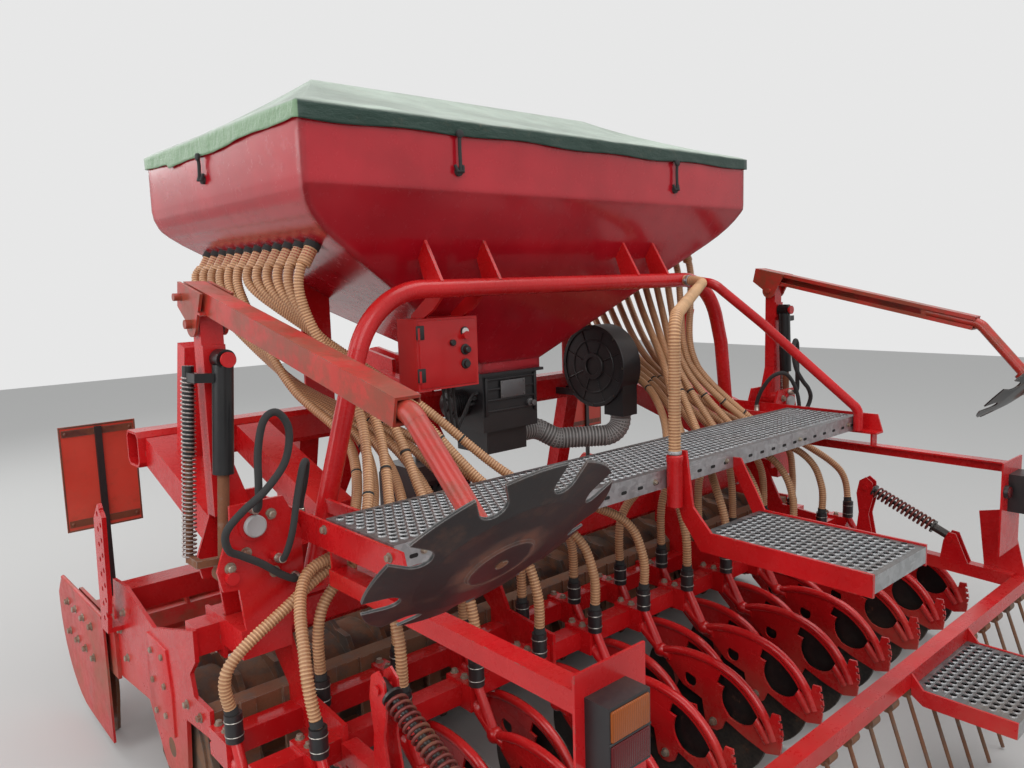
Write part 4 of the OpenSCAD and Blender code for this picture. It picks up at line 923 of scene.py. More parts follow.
def coil_tree():
    """A wire coil that stands up from the origin."""
    tree, given, sink = new_tree("wire_coil", "Turns", "Radius", "Height", "Wire", "Material")
    spiral = out_of(tree, "CurveSpiral", Resolution=14, Rotations=given["Turns"], Height=given["Height"],
                    Start_Radius=given["Radius"], End_Radius=given["Radius"])
    return close_tree(tree, swept(tree, spiral, 7, given["Wire"]), given["Material"], sink)


TREE_MAKERS = {"ribbed_tube": ribbed_tree, "tread_perforations": tread_tree, "hexagon_bolts": bolt_tree,
               "wire_coil": coil_tree}


def evaluated(seed, *others):
    """The mesh of an object with its modifiers applied; the object and its helpers go."""
    bpy.context.view_layer.update()
    graph = bpy.context.evaluated_depsgraph_get()
    mesh = bpy.data.meshes.new_from_object(seed.evaluated_get(graph), depsgraph=graph)
    for made in (seed, *others):
        bpy.data.objects.remove(made)
    return mesh


def grown(name, tree_name, values, data=None, body="machine", matrix=None):
    """Runs a geometry tree on a curve or mesh and keeps the result as a plain mesh piece."""
    tree = bpy.data.node_groups.get(tree_name) or TREE_MAKERS[tree_name]()
    seed = placed(name + "_seed", data or bpy.data.meshes.new(name + "_seed"))
    modifier = seed.modifiers.new("grow", "NODES")
    modifier.node_group = tree
    for item in tree.interface.items_tree:
        if item.in_out == "INPUT" and item.name in values:
            modifier[item.identifier] = values[item.name]
    mesh = evaluated(seed)
    mesh.name = name
    if matrix is not None:
        mesh.transform(matrix)
    return as_piece(name, mesh, body)


def coil(name, slot_name, material, turns, radius, height, wire, matrix, body="machine"):
    """A wire coil placed by a matrix."""
    values = {"Turns": turns, "Radius": radius, "Height": height, "Wire": wire, "Material": finish(material)}
    return grown(name, "wire_coil", values, None, body, matrix)


def ribbed(name, paths, radius, pitch, rib, material, sides=10):
    """Ribbed tubes along paths, as one piece."""
    curve = bpy.data.curves.new(name, "CURVE")
    curve.dimensions = "3D"
    for path in paths:
        spline = curve.splines.new("POLY")
        spline.points.add(len(path) - 1)
        for point, place in zip(spline.points, path):
            point.co = (*place, 1.0)
    values = {"Radius": radius, "Pitch": pitch, "Rib": rib, "Sides": sides, "Material": finish(material)}
    return grown(name, "ribbed_tube", values, curve)


def along(start, direction):
    """A matrix that turns Z into a direction and moves the origin to a start."""
    return Matrix.Translation(start) @ UP.rotation_difference(direction).to_matrix().to_4x4()


# Seed hose routes, in millimetres as the hoses of the part

END_OUT = Vector((-(1760 - 1290), 0, -(960 - 160))).normalized()


def hose_route(index, side):
    """Route of one seed hose from the hopper's outlet to its boot, drawn on the left."""
    far = index % 2 == 1 if side < 0 else index % 2 == 0
    pair = index // 2
    y = 130 + 76 * (pair if far else pair + 6)
    bundle = -890 + 46 * pair
    row = 1000 * ((index - MIDDLE_ROW) * ROW_GAP + side * PLATE_OFF)
    boot_y = 1000 * RANKS["rear" if far else "front"] + 290
    half_way = bundle * 0.6 + row * 0.4
    start = Vector((-985, y, 1700))
    route = [start, start + END_OUT * 70]
    if far:
        route += [(-985 + 24 * pair, 45 + y * 0.5, 1490 - 8 * pair), (bundle, 12, 1215)]
        route += [(-1040, -232, 930), (-1250, -272, 850), (row, -430, 690)] if pair == 0 else [
            (half_way, -222, 950), (row * 0.85 + half_way * 0.15, boot_y + 70, 800), (row, boot_y + 4, 670)]
    else:
        route += [(-960 + 24 * pair, 70 + y * 0.5, 1300 - 6 * pair), (bundle, 85, 1100)]
        route += [(-1060, -185, 900), (-1250, -245, 800), (row, boot_y, 670)] if pair == 0 else [
            (half_way, -185, 900), (row * 0.9 + half_way * 0.1, boot_y + 12, 740)]
    route.append((row, boot_y, 533))
    return mirrored(eased([point / 1000 for point in smooth_path(route, 16)]), side)


# Operators, one for each piece or group of like pieces

PAINTED = {
    "frame_red": ("drill_frame", "arch_frame", "headstock", "roller_frame", "handrail", "lamp_bar_left",
                  "lamp_bar_right", "marker_post_left", "marker_post_right"),
    "shield_red": ("harrow_side_left", "harrow_side_right"),
    "harrow_red": ("harrow_trough",),
    "hopper_red": ("hopper",),
    "box_red": ("control_box", "control_box_door"),
    "marker_disc_steel": ("marker_disc_left", "marker_disc_right"),
    "barrel_black": ("marker_barrel_left", "marker_barrel_right"),
    "rusty_rod": ("marker_rod_left", "marker_rod_right"),
    "black_enamel": ("gearbox",),
    "black_plastic": ("metering_unit", "fan", "rear_lamps"),
    "duct_grey": ("air_duct",),
    "tine_steel": tuple("rotor_%02d" % index for index in range(1, 13)),
    "packer_iron": ("packer_roller",),
    "scraper_steel": ("scrapers",),
    "seed_disc_steel": ("discs_front", "discs_rear"),
}
HUB_REACH = 0.045
BOOT_FOOT = 0.4715
TINE_TOP = 0.3725
WALKWAY_TOP = 0.9985
# Name, X of the zinc plate's ends, height above which it is trodden and painted in shade
STEP_PLATES = (("lower_step", -0.0949, 0.2399, 0.7985), ("rear_step", 0.2001, 0.6399, 0.3685))


class PaintSolids(bpy.types.Operator):
    """Put the painted, plated and moulded finishes on the solids"""

    bl_idname = "drill.paint_solids"
    bl_label = "Paint the solids"

    def execute(self, context):
        for material, names in PAINTED.items():
            for name in names:
                finish_node(name, material)
        for side, word in SIDES:
            hub = Vector((side * DISC_HUB.x, DISC_HUB.y, DISC_HUB.z))
            finish_node("marker_arm_" + word, "arm_red", [
                ("rusty_rod", lambda p, hub=hub: (p - hub).length < HUB_REACH)])
        for rank in RANKS:
            finish_node("coulters_" + rank, "coulter_red", [("black_plastic", lambda p: p.z > BOOT_FOOT)])
        finish_node("covering_harrow", "frame_red", [("tine_steel", lambda p: p.z < TINE_TOP)])
        # Painted shade, together with wear: the tops of the walkway and the steps take the darker zinc
        finish_node("walkway", "zinc_plate", [("trodden_zinc", lambda p: p.z > WALKWAY_TOP)])
        for name, left, right, top in STEP_PLATES:
            finish_node(name, "frame_red", [
                ("zinc_plate", lambda p, ends=(left, right): ends[0] < p.x < ends[1]),
                ("trodden_zinc", lambda p, ends=(left, right, top): ends[0] < p.x < ends[1] and p.z > ends[2])])
        board_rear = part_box("warning_boards")[1].y - 0.0031
        finish_node("warning_boards", "board_orange", [
            ("board_strip", lambda p: p.y < board_rear),
            ("black_plastic", lambda p: p.y < board_rear and 1.3575 < abs(p.x) < 1.3825)])
        return {"FINISHED"}


RIDGE_REACH = 0.71
RIM_TO_EAVE = 0.027
SIDE_STEPS = (84, 48, 84, 48)
ROOF_STEPS = 22
SKIRT_STEPS = 7
LIP_START = 0.93
CLOTH_THICKNESS = 0.0022
# Length of a strip of the UV map from the ridge to the eave
CLOTH_LENGTH = 0.68


class DrapeCover(bpy.types.Operator):
    """Drape the tarpaulin over the hopper's ridge pole and rim"""

    bl_idname = "drill.drape_cover"
    bl_label = "Drape the cover"

    def execute(self, context):
        low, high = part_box("hopper_cover")
        middle = Vector(((low.x + high.x) / 2, (low.y + high.y) / 2, 0))
        half = (high - low) / 2 - Vector((0.002, 0.002, 0))
        bm = bmesh.new()
        uv = bm.loops.layers.uv.new("cloth")
        around = self.outline(half)
        strips = []
        girth = 0.0
        for index, (x, y) in enumerate(around):
            if index:
                girth += math.dist((x, y), around[index - 1])
            places = self.strip(x, y, half, middle.y, high.z - 0.004, girth, context.scene.drill_cover)
            strips.append((girth, [(bm.verts.new(place), t) for place, t in places]))
        strips.append((girth + math.dist(around[0], around[-1]), strips[0][1]))
        for (first_girth, first), (second_girth, second) in zip(strips, strips[1:]):
            for step in range(len(first) - 1):
                corners = [(first_girth, first[step]), (second_girth, second[step]),
                           (second_girth, second[step + 1]), (first_girth, first[step + 1])]
                face = bm.faces.new([vert for _, (vert, _) in corners])
                face.smooth = True
                for loop, (mark, (_, t)) in zip(face.loops, corners):
                    loop[uv].uv = (mark, t * CLOTH_LENGTH)
        bmesh.ops.remove_doubles(bm, verts=bm.verts, dist=0.0004)
        bmesh.ops.recalc_face_normals(bm, faces=bm.faces)
        if sum(face.normal.z for face in bm.faces) < 0:
            bmesh.ops.reverse_faces(bm, faces=bm.faces)
        area = sum(face.calc_area() for face in bm.faces)
        tarp_finish("tarp_green")
        mesh = into_mesh("hopper_tarpaulin", bm)
        piece = as_piece("hopper_tarpaulin", mesh, "machine", ["tarp_green"])
        solid = piece.modifiers.new("thickness", "SOLIDIFY")
        solid.thickness = CLOTH_THICKNESS
        solid.offset = -1.0
        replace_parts(piece, "hopper_cover")
        return {"FINISHED"}

    @staticmethod
    def outline(half):
        """Points round the rim in even steps, from the rear left corner; Y counts from the rim's middle."""
        corners = [(-half.x, -half.y), (half.x, -half.y), (half.x, half.y), (-half.x, half.y)]
        around = []
        for here, there, steps in zip(corners, corners[1:] + corners[:1], SIDE_STEPS):
            for step in range(steps):
                around.append(tuple(a + (b - a) * step / steps for a, b in zip(here, there)))
        return around

    @staticmethod
    def strip(x, off, half, mid_y, ridge_z, girth, cover):
        """Places down one strip of cloth, from the ridge over the roof and the eave to the skirt's hem."""
        y = mid_y + off
        eave_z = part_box("hopper")[1].z + RIM_TO_EAVE
        foot = Vector((max(-RIDGE_REACH, min(RIDGE_REACH, x)), mid_y, ridge_z))
        eave = Vector((x, y, eave_z))
        out = Vector((math.copysign(1, x) if abs(x) > half.x - 1e-6 else 0,
                      math.copysign(1, off) if abs(off) > half.y - 1e-6 else 0, 0)).normalized()
        places = []
        for step in range(ROOF_STEPS + 1):
            t = step / ROOF_STEPS
            place = foot.lerp(eave, t)
            near_end = math.exp(-((abs(place.x) - RIDGE_REACH) / 0.10) ** 2)
            fold = math.sin(x * 9.0 + y * 7.0) * 0.5 + math.sin(x * 23.0 - y * 17.0 + 1.3) * 0.3
            fold += math.sin(x * 41.0 + 2.0 * t * 3.0) * 0.18
            arc = math.sin(math.pi * t)
            place.z -= cover.sag * arc * (1.0 + 0.35 * fold) + 0.006 * near_end * arc + 0.0035 * fold * t * t
            place.z -= 0.006 * (max(0.0, t - LIP_START) / (1 - LIP_START)) ** 2
            places.append((place, t))
        drop = cover.drop + 0.0035 * math.sin(girth * 13.0) + 0.003 * math.sin(girth * 5.1 + 0.8)
        if abs(x + half.x) < 1e-6 and off < 0.4:
            drop += 0.022 * max(0.0, min(1.0, (off + half.y) / (2 * half.y)))
        for step in range(1, SKIRT_STEPS + 1):
            t = step / SKIRT_STEPS
            wave = 0.0016 * math.sin(girth * 46.0) * t + 0.0012 * math.sin(girth * 19.0 + 1.0) * t
            place = Vector((x, y, eave_z - 0.010 - (RIM_TO_EAVE - 0.010 + drop) * t)) + out * (wave - 0.0006)
            places.append((place, 1.0 + t * 0.06))
        return places


AIR_FOOT = Vector((-0.1315, -0.6403, 0.880))
AIR_HOSE = [(0.660, -0.1005, 1.600), (0.660, -0.190, 1.590), (AIR_FOOT.x, AIR_FOOT.y, 1.490),
            (AIR_FOOT.x, AIR_FOOT.y, 1.045)]
DUCT_RIBS = [(0.595, 0.214, 0.990), (0.595, 0.214, 0.900), (0.340, 0.380, 0.900), (0.260, 0.430, 0.955),
             (0.1110, 0.430, 0.955)]
# Place, direction and heights of the lug of each clamp on the air hose
AIR_BANDS = ((AIR_FOOT + UP * 0.172, UP, 0.002, 0.009),
             (Vector((0.660, -0.112, 1.5988)), Vector((0, -1, -0.11)), -0.005, 0.005))


class FitHoses(bpy.types.Operator):
    """Fit the ribbed seed hoses with their clamps, the air hose and the duct"""

    bl_idname = "drill.fit_hoses"
    bl_label = "Fit the hoses"

    def execute(self, context):
        hose = context.scene.drill_hoses
        hose_finish("seed_hose_tan", tuple(hose.colour), tuple(hose.groove))
        for side, word in SIDES:
            routes = [hose_route(index, side) for index in range(ROWS // 2)]
            piece = ribbed("seed_hoses_" + word, routes, 0.0146, hose.pitch, hose.rib, "seed_hose_tan")
            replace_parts(piece, "hoses_" + word)
            clamps = []
            for route in routes:
                long = path_length(route)
                clamps += [stretch_of(route, long - 0.030, long - 0.012),
                           stretch_of(route, long * 0.52, long * 0.52 + 0.007)]
            ribbed("hose_clamps_" + word, clamps, 0.0178, 0.006, 0.0, "black_rubber")
            back = mirrored([-END_OUT], side)[0]
            cuffs = [[route[0] + back * 0.044, route[0] - back * 0.016] for route in routes]
            ribbed("hose_cuffs_" + word, cuffs, 0.0216, hose.pitch, hose.rib * 0.6, "seed_hose_tan", 12)
            collars = [[route[0] + back * 0.062, route[0] + back * 0.043] for route in routes]
            ribbed("hose_collars_" + word, collars, 0.0262, 0.009, 0.0, "black_rubber", 16)
        air = filleted(AIR_HOSE, 0.09, 12)
        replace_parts(ribbed("air_hose_ribbed", [air], 0.0186, 0.0100, 0.0028, "seed_hose_tan", 16), "air_hose")
        bm = bmesh.new()
        add_pin(bm, [(0.0, 0.026), (0.146, 0.026), (0.148, 0.0275), (0.166, 0.0275), (0.168, 0.0255),
                     (0.170, 0.0240)], AIR_FOOT, UP, 28)
        from_bmesh("air_socket", bm, "red_paint", "frame_red")
        bm = bmesh.new()
        for place, way, low, high in AIR_BANDS:
            add_pin(bm, [(0.0, 0.0226), (0.0010, 0.0232), (0.0100, 0.0232), (0.0110, 0.0226)], place, way)
            corners = [place + Vector((-0.030, -0.005, low)), place + Vector((-0.022, 0.005, high))]
            add_block(bm, *corners, 0.001, 1)
        from_bmesh("air_hose_bands", bm, "galvanised", "zinc_plate")
        ribbed("air_duct_ribs", [filleted(DUCT_RIBS, 0.08, 8)], 0.0458, 0.015, 0.0030, "duct_ribs_grey", 20)
        return {"FINISHED"}


MARKER_LOOP = [
    (-1.300, -0.2234, 0.905), (-1.300, -0.262, 0.916), (-1.286, -0.288, 0.985), (-1.262, -0.282, 1.080),
    (-1.226, -0.252, 1.150), (-1.192, -0.205, 1.140), (-1.178, -0.158, 1.075), (-1.180, -0.130, 1.010),
    (-1.180, -0.130, 0.9664)]
SUPPLY_HOSE = [
    (-1.352, -0.1956, 1.046), (-1.351, -0.236, 1.056), (-1.348, -0.242, 1.115), (-1.343, -0.242, 1.205),
    (-1.326, -0.250, 1.282), (-1.292, -0.258, 1.300), (-1.266, -0.265, 1.253), (-1.284, -0.270, 1.172),
    (-1.343, -0.272, 1.107), (-1.405, -0.268, 1.063), (-1.447, -0.258, 1.016), (-1.440, -0.246, 0.966),
    (-1.405, -0.236, 0.940), (-1.352, -0.234, 0.905), (-1.300, -0.234, 0.862), (-1.262, -0.230, 0.838),
    (-1.244, -0.1956, 0.834)]
SLEEVE = [(0.0, 0.0125), (0.006, 0.0132), (0.008, 0.0116), (0.030, 0.0112), (0.032, 0.0092)]
GLAND = [(0.0, 0.0095), (0.006, 0.0095), (0.007, 0.0080), (0.014, 0.0078), (0.020, 0.0054)]
# Hose, its crimps, route, radius and the directions of its two ends
LINES = (("hydraulic_loop_", "hose_crimps_", MARKER_LOOP, 0.0090, (0, -1, 0.12), UP),
         ("supply_hose_", "supply_crimps_", SUPPLY_HOSE, 0.0100, REAR, REAR))
BOX_CABLES = 3


class FitCables(bpy.types.Operator):
    """Fit the markers' hydraulic hoses and the control box's cables"""

    bl_idname = "drill.fit_cables"
    bl_label = "Fit the cables"

    def execute(self, context):
        for side, word in SIDES:
            for name, crimps, route, radius, start, end in LINES:
                path = smooth_path(mirrored(route, side), 8)
                bm = bmesh.new()
                add_tube(bm, path, radius, 14)
                piece = from_bmesh(name + word, bm, "black_rubber", "black_rubber")
                if route is MARKER_LOOP:
                    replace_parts(piece, "marker_hose_" + word)
                bm = bmesh.new()
                add_pin(bm, SLEEVE, path[0], start, 18)
                add_pin(bm, SLEEVE, path[-1], end, 18)
                from_bmesh(crimps + word, bm, "galvanised", "crimp_zinc")
        bm = bmesh.new()
        glands = bmesh.new()
        for i in range(BOX_CABLES):
            way = [(-500 + 22 * i, 90, 1254.6), (-500 + 22 * i, 90, 1215),
                   (-470 + 22 * i, 115, 1120 - 12 * i), (-380 + 12 * i, 200, 1055 - 12 * i),
                   (-275, 290 + 6 * i, 1075 - 14 * i), (-205, 322 + 10 * i, 1140 - 22 * i),
                   (-175, 330 + 14 * i, 1165 - 22 * i), (-150.4, 330 + 14 * i, 1165 - 22 * i)]
            path = smooth_path([Vector(point) / 1000 for point in way], 7)
            add_tube(bm, path, 0.0050)
            add_pin(glands, GLAND, path[0], -UP, 12)
            add_pin(glands, GLAND, path[-1], -RIGHT, 12)
        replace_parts(from_bmesh("box_cables", bm, "black_rubber", "black_rubber"), "cables")
        from_bmesh("cable_glands", glands, "black_paint", "black_plastic")
        return {"FINISHED"}


MOTOR_AXIS = (0.430, 1.120)
SHAFT_END = [(0.0, 0.0), (0.0, 0.016), (0.010, 0.016), (0.012, 0.008), (0.026, 0.007), (0.028, 0.012),
             (0.034, 0.012), (0.036, 0.0)]
FAN_HUB = Vector((0.540, 0.330, 1.215))
# Inner and outer radius and depth of the fan's rings
FAN_RINGS = ((0.172, 0.190, 0.006), (0.118, 0.126, 0.004), (0.040, 0.062, 0.008))


class DressMetering(bpy.types.Operator):
    """Dress the metering unit, its motor and the fan with covers, ribs and rings"""

    bl_idname = "drill.dress_metering"
    bl_label = "Dress the metering unit"

    def execute(self, context):
        bm = bmesh.new()
        for step in range(7):
            add_lathe(bm, [(0.0, 0.0540), (0.0, 0.0590), (0.0035, 0.0590), (0.0035, 0.0540)],
                      (-0.160 - 0.010 * step, *MOTOR_AXIS), -RIGHT, 28)
        add_pin(bm, [(0.0, 0.050), (0.007, 0.048), (0.012, 0.030), (0.020, 0.028), (0.022, 0.024)],
                (-0.230, *MOTOR_AXIS), -RIGHT, 28)
        for z in (1.085, 1.130, 1.175, 1.215):
            add_block(bm, (-0.136, 0.2935, z), (0.136, 0.3005, z + 0.009), 0.002)
        for x in (-0.140, 0.128):
            add_block(bm, (x, 0.2915, 1.070), (x + 0.012, 0.3005, 1.230), 0.002)
        from_bmesh("meter_ribs", bm, "black_paint", "black_plastic")
        bm = bmesh.new()
        add_block(bm, (-0.060, 0.2895, 1.140), (0.075, 0.2935, 1.212), 0.003)
        for x in (-0.052, 0.067):
            for z in (1.148, 1.204):
                add_pin(bm, [(0.0, 0.0050), (0.003, 0.0042)], (x, 0.2895, z), REAR, 10)
        add_lathe(bm, SHAFT_END, (0.105, 0.3005, 1.105), REAR, 18)
        from_bmesh("meter_cover", bm, "galvanised", "cast_grey")
        bm = bmesh.new()
        for inner, outer, depth in FAN_RINGS:
            add_lathe(bm, [(-0.001, inner), (-0.001, outer), (depth - 0.0015, outer), (depth, outer - 0.0015),
                           (depth, inner + 0.0015), (depth - 0.0015, inner)], FAN_HUB, -RIGHT, 64)
        for step in range(8):
            turn = math.pi * (step + 0.5) / 4
            out = Vector((0, math.cos(turn), math.sin(turn)))
            add_tube(bm, [FAN_HUB + out * 0.060, FAN_HUB + out * 0.174], 0.0038, 6)
        from_bmesh("fan_rings", bm, "black_paint", "black_plastic")
        return {"FINISHED"}


# A staggered grid's rows stand closer than its columns, by this share of the pitch
ROW_SHARE = 0.866
SLOT_HALF = 0.013
SLOT_RADIUS = 0.0055
SLOT_RISE = 0.0005


class RaiseTread(bpy.types.Operator):
    """Raise the perforations of the walkway and the steps, with painted shade in their holes and slots"""

    bl_idname = "drill.raise_tread"
    bl_label = "Raise the tread"

    def execute(self, context):
        tread = context.scene.drill_tread
        pitch = tread.pitch
        plates = {
            "walkway": (-1.165, 1.165, -0.590, -0.308, 1.000),
            "lower_step": (-0.075, 0.222, -1.255, -0.745, 0.800),
            "rear_step": (0.222, 0.618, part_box("rear_step")[0].y + 0.022, -1.288, 0.370),
        }
        for name, (x0, x1, y0, y1, top) in plates.items():
            columns = max(2, int((x1 - x0 - pitch / 2) / pitch) + 1)
            rows = max(2, int((y1 - y0) / (pitch * ROW_SHARE)) + 1)
            grown(name + "_perforations", "tread_perforations", {
                "Columns": columns, "Rows": rows, "Size X": (columns - 1) * pitch,
                "Size Y": (rows - 1) * pitch * ROW_SHARE,
                "Middle": ((x0 + x1 - pitch / 2) / 2, (y0 + y1) / 2, top), "Radius": tread.radius,
                "Height": tread.height, "Stagger": pitch / 2, "Material": finish("zinc_plate"),
                "Hole": finish("tread_hole")})
        # Painted shade: dark marks stand for the slots along the walkway's lip and in the lower step's end
        bm = bmesh.new()
        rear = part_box("walkway")[0].y
        for step in range(30):
            self.slot_shade_mark(bm, Vector((-1.130 + 0.078 * step, rear, 0.962)), RIGHT, REAR)
        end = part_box("lower_step")[1].x
        for step in range(4):
            self.slot_shade_mark(bm, Vector((end, -1.215 + 0.14 * step, 0.775)), -REAR, RIGHT)
        from_bmesh("lip_slot_shades", bm, "galvanised", "tread_hole")
        return {"FINISHED"}

    @staticmethod
    def slot_shade_mark(bm, middle, along, out):
        """A dark mark with round ends through a face: painted shade where the plate has a slot."""
        ring = []
        for step in range(12):
            turn = 2 * math.pi * (step + 0.5) / 12
            reach = math.copysign(SLOT_HALF - SLOT_RADIUS, math.cos(turn)) + SLOT_RADIUS * math.cos(turn)
            ring.append(middle + along * reach + UP * (SLOT_RADIUS * math.sin(turn)))
        skin(bm, [[point + out * off for point in ring] for off in (SLOT_RISE, -SLOT_RISE)])


class ClipBoots(bpy.types.Operator):
    """Bind the seed hoses in their rubber boots with wire clips"""

    bl_idname = "drill.clip_boots"
    bl_label = "Clip the boots"

    def execute(self, context):
        bm = bmesh.new()
        for row in range(ROWS):
            rank = RANKS["rear" if row % 2 else "front"]
            for z in (0.488, 0.527):
                ring = circle(Vector((row_x(row), rank + 0.290, z)), 0.0236, 18, RIGHT, -REAR)
                add_tube(bm, [*ring, ring[0]], 0.0014, 6)
        from_bmesh("boot_clips", bm, "galvanised", "clip_wire")
        return {"FINISHED"}


GUARD_HOOP = [(0.205, 0.350), (0.120, 0.374), (0.020, 0.377), (-0.070, 0.357), (-0.140, 0.312),
              (-0.188, 0.252), (-0.214, 0.196)]
OPENING = 0.068
# Slabs either side of a plate, in which its solid's lower tube lies
TUBE_SLABS = ((-0.0170, -0.0043), (0.0043, 0.0170))
WEB_HALF = Vector((0.004, 0, 0))


class HoopCoulters(bpy.types.Operator):
    """Open the coulters' plates and bend the guard hoops over the seed discs"""

    bl_idname = "drill.hoop_coulters"
    bl_label = "Hoop the coulters"

    def execute(self, context):
        for word, rank in RANKS.items():
            bm = bmesh.new()
            rounds = bmesh.new()
            slabs = bmesh.new()
            for row in rows_of(word):
                x = row_x(row)
                path = smooth_path([(x, rank + y, z) for y, z in GUARD_HOOP], 4)
                add_tube(bm, path, 0.0140)
                self.web(bm, path[1:], Vector((x, rank, AXLE_Z)))
                start = (x - 0.025, rank - 0.095, 0.270)
                add_pin(rounds, [(0.0, OPENING), (0.050, OPENING)], start, RIGHT, 32)
                for near, far in TUBE_SLABS:
                    add_block(slabs, (x + near, rank - 0.050, 0.262), (x + far, rank + 0.172, 0.362))
            from_bmesh("guard_hoops_" + word, bm, "red_paint", "coulter_red")
            self.open_plates("coulters_" + word, {"openings": rounds, "old_tubes": slabs})
        return {"FINISHED"}

    @staticmethod
    def open_plates(name, cutters):
        """A copy of a rank of coulters with the cutters' shapes taken away; it stands for the node."""
        mesh = NODES[name].data.copy()
        whole = bmesh.new()
        whole.from_mesh(mesh)
        bmesh.ops.remove_doubles(whole, verts=whole.verts[:], dist=0.00001)
        whole.to_mesh(mesh)
        whole.free()
        body = placed(name + "_seed", mesh)
        tools = []
        for label, cutter in cutters.items():
            bmesh.ops.recalc_face_normals(cutter, faces=cutter.faces[:])
            shape = into_mesh(label, cutter)
            shape.materials.append(finish("coulter_red"))
            tools.append(placed(label, shape))
            cut = body.modifiers.new(label, "BOOLEAN")
            cut.operation = "DIFFERENCE"
            cut.solver = "MANIFOLD"
            cut.object = tools[-1]
        opened = evaluated(body, *tools)
        opened.name = name + "_opened"
        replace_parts(as_piece(name + "_opened", opened, "machine"), name)

    @staticmethod
    def web(bm, path, middle):
        """A flat web inside a hoop: down to the plate at the front, and a rim round the opening."""
        rings = []
        for point in path:
            ahead = point.y - middle.y
            if ahead > -0.025:
                inwards = Vector((0, 0, 0.290 + 0.229 * ahead - point.z))
            else:
                inwards = (middle - point).normalized() * 0.024
            rings.append([point - WEB_HALF, point + WEB_HALF, point + WEB_HALF + inwards,
                          point - WEB_HALF + inwards])
        skin(bm, rings)


HIGH_BRACKET = [(-0.600, 0.450), (-0.612, 0.560), (-0.600, 0.645), (-0.612, 0.703), (-0.640, 0.722),
                (-0.668, 0.702), (-0.674, 0.640), (-0.655, 0.560), (-0.678, 0.448)]
LOW_BRACKET = [(-0.955, 0.436), (-0.966, 0.515), (-0.985, 0.550), (-1.012, 0.547), (-1.032, 0.500),
               (-1.062, 0.432)]
# The pivot bolt between two bracket plates, and the spring's rod with its two seats
BRACKET_BOLT = [(0.0, 0.012), (0.004, 0.012), (0.004, 0.008), (0.052, 0.008), (0.052, 0.012), (0.056, 0.012)]
SPRING_ROD = [(-0.018, 0.014), (0.030, 0.014), (0.030, 0.027), (0.037, 0.027), (0.037, 0.009), (0.300, 0.009),
              (0.300, 0.027), (0.307, 0.027), (0.307, 0.017), (0.392, 0.017)]


class PressHarrow(bpy.types.Operator):
    """Set the pressure springs on the covering harrow's arms"""

    bl_idname = "drill.press_harrow"
    bl_label = "Press the harrow"

    def execute(self, context):
        for side, word in SIDES:
            x = 1.245 * side
            high = Vector((x, -0.640, 0.676))
            low = Vector((x, -0.990, 0.524))
            down = (low - high).normalized()
            coil("pressure_spring_" + word, "red_paint", "pressure_spring", 14.0, 0.0240, 0.255, 0.0046,
                 along(high + down * 0.040, down))
            bm = bmesh.new()
            add_pin(bm, SPRING_ROD, high, down, 20)
            from_bmesh("pressure_rod_" + word, bm, "black_paint", "black_enamel")
            bm = bmesh.new()
            for outline in (HIGH_BRACKET, LOW_BRACKET):
                for off in (-0.021, 0.015):
                    add_plate(bm, outline, x + off, x + off + 0.006)
            for middle in (high, low):
                add_pin(bm, BRACKET_BOLT, middle - RIGHT * 0.028, RIGHT, 16)
            from_bmesh("pressure_brackets_" + word, bm, "red_paint", "frame_red")
        return {"FINISHED"}


MARKER_TOP = Vector((-1.380, -0.150, 1.440))
MARKER_LOW = Vector((-1.420, -0.150, 0.875))
# How far the spring's ends stay from the cylinder's ends, and how far its axis is beside and before it
SPRING_START = 0.050
SPRING_END = 0.040
SPRING_BESIDE = 0.066
SPRING_BEFORE = 0.064


class DressMarkers(bpy.types.Operator):
    """Add the springs and pivot caps of the row markers"""

    bl_idname = "drill.dress_markers"
    bl_label = "Dress the markers"

    def execute(self, context):
        down = (MARKER_LOW - MARKER_TOP).normalized()
        axis = MARKER_TOP + Vector((down.z, 0, -down.x)) * SPRING_BESIDE - REAR * SPRING_BEFORE
        first = axis + down * SPRING_START
        long = (MARKER_LOW - MARKER_TOP).length - SPRING_START - SPRING_END
        turns = long / context.scene.drill_fasteners.coil
        for side, word in SIDES:
            matrix = along(first, down)
            if side > 0:
                matrix = Matrix.Diagonal((-1, 1, 1, 1)) @ matrix
            piece = coil("marker_spring_" + word, "worn_steel", "spring_steel", turns, 0.0168, long, 0.0026,
                         matrix, None)
            if side > 0:
                piece.data.flip_normals()
            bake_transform(piece)
            bm = bmesh.new()
            pivot = mirrored([(-1.350, -0.203, 1.000)], side)[0]
            add_pin(bm, [(0.0, 0.030), (0.010, 0.030), (0.014, 0.026)], pivot, REAR)
            from_bmesh("pivot_cap_" + word, bm, "galvanised", "cap_grey")
        return {"FINISHED"}


# Piece, its finish, how far it reaches past the lens, its faces in Y, heights, rounding
LAMP_BLOCKS = (("lamp_amber_", "lens_amber", 0.0, (-1.3005, -1.292), (0.793, 0.853), 0.004, 3),
               ("lamp_red_", "lens_red", 0.0, (-1.3005, -1.292), (0.727, 0.787), 0.004, 3),
               ("lamp_rib_", "switch_black", 0.005, (-1.298, -1.2955), (0.7875, 0.7925), 0.001, 1))
BOX_DOOR_Y = 0.0257
PANEL_RISE = 0.0035
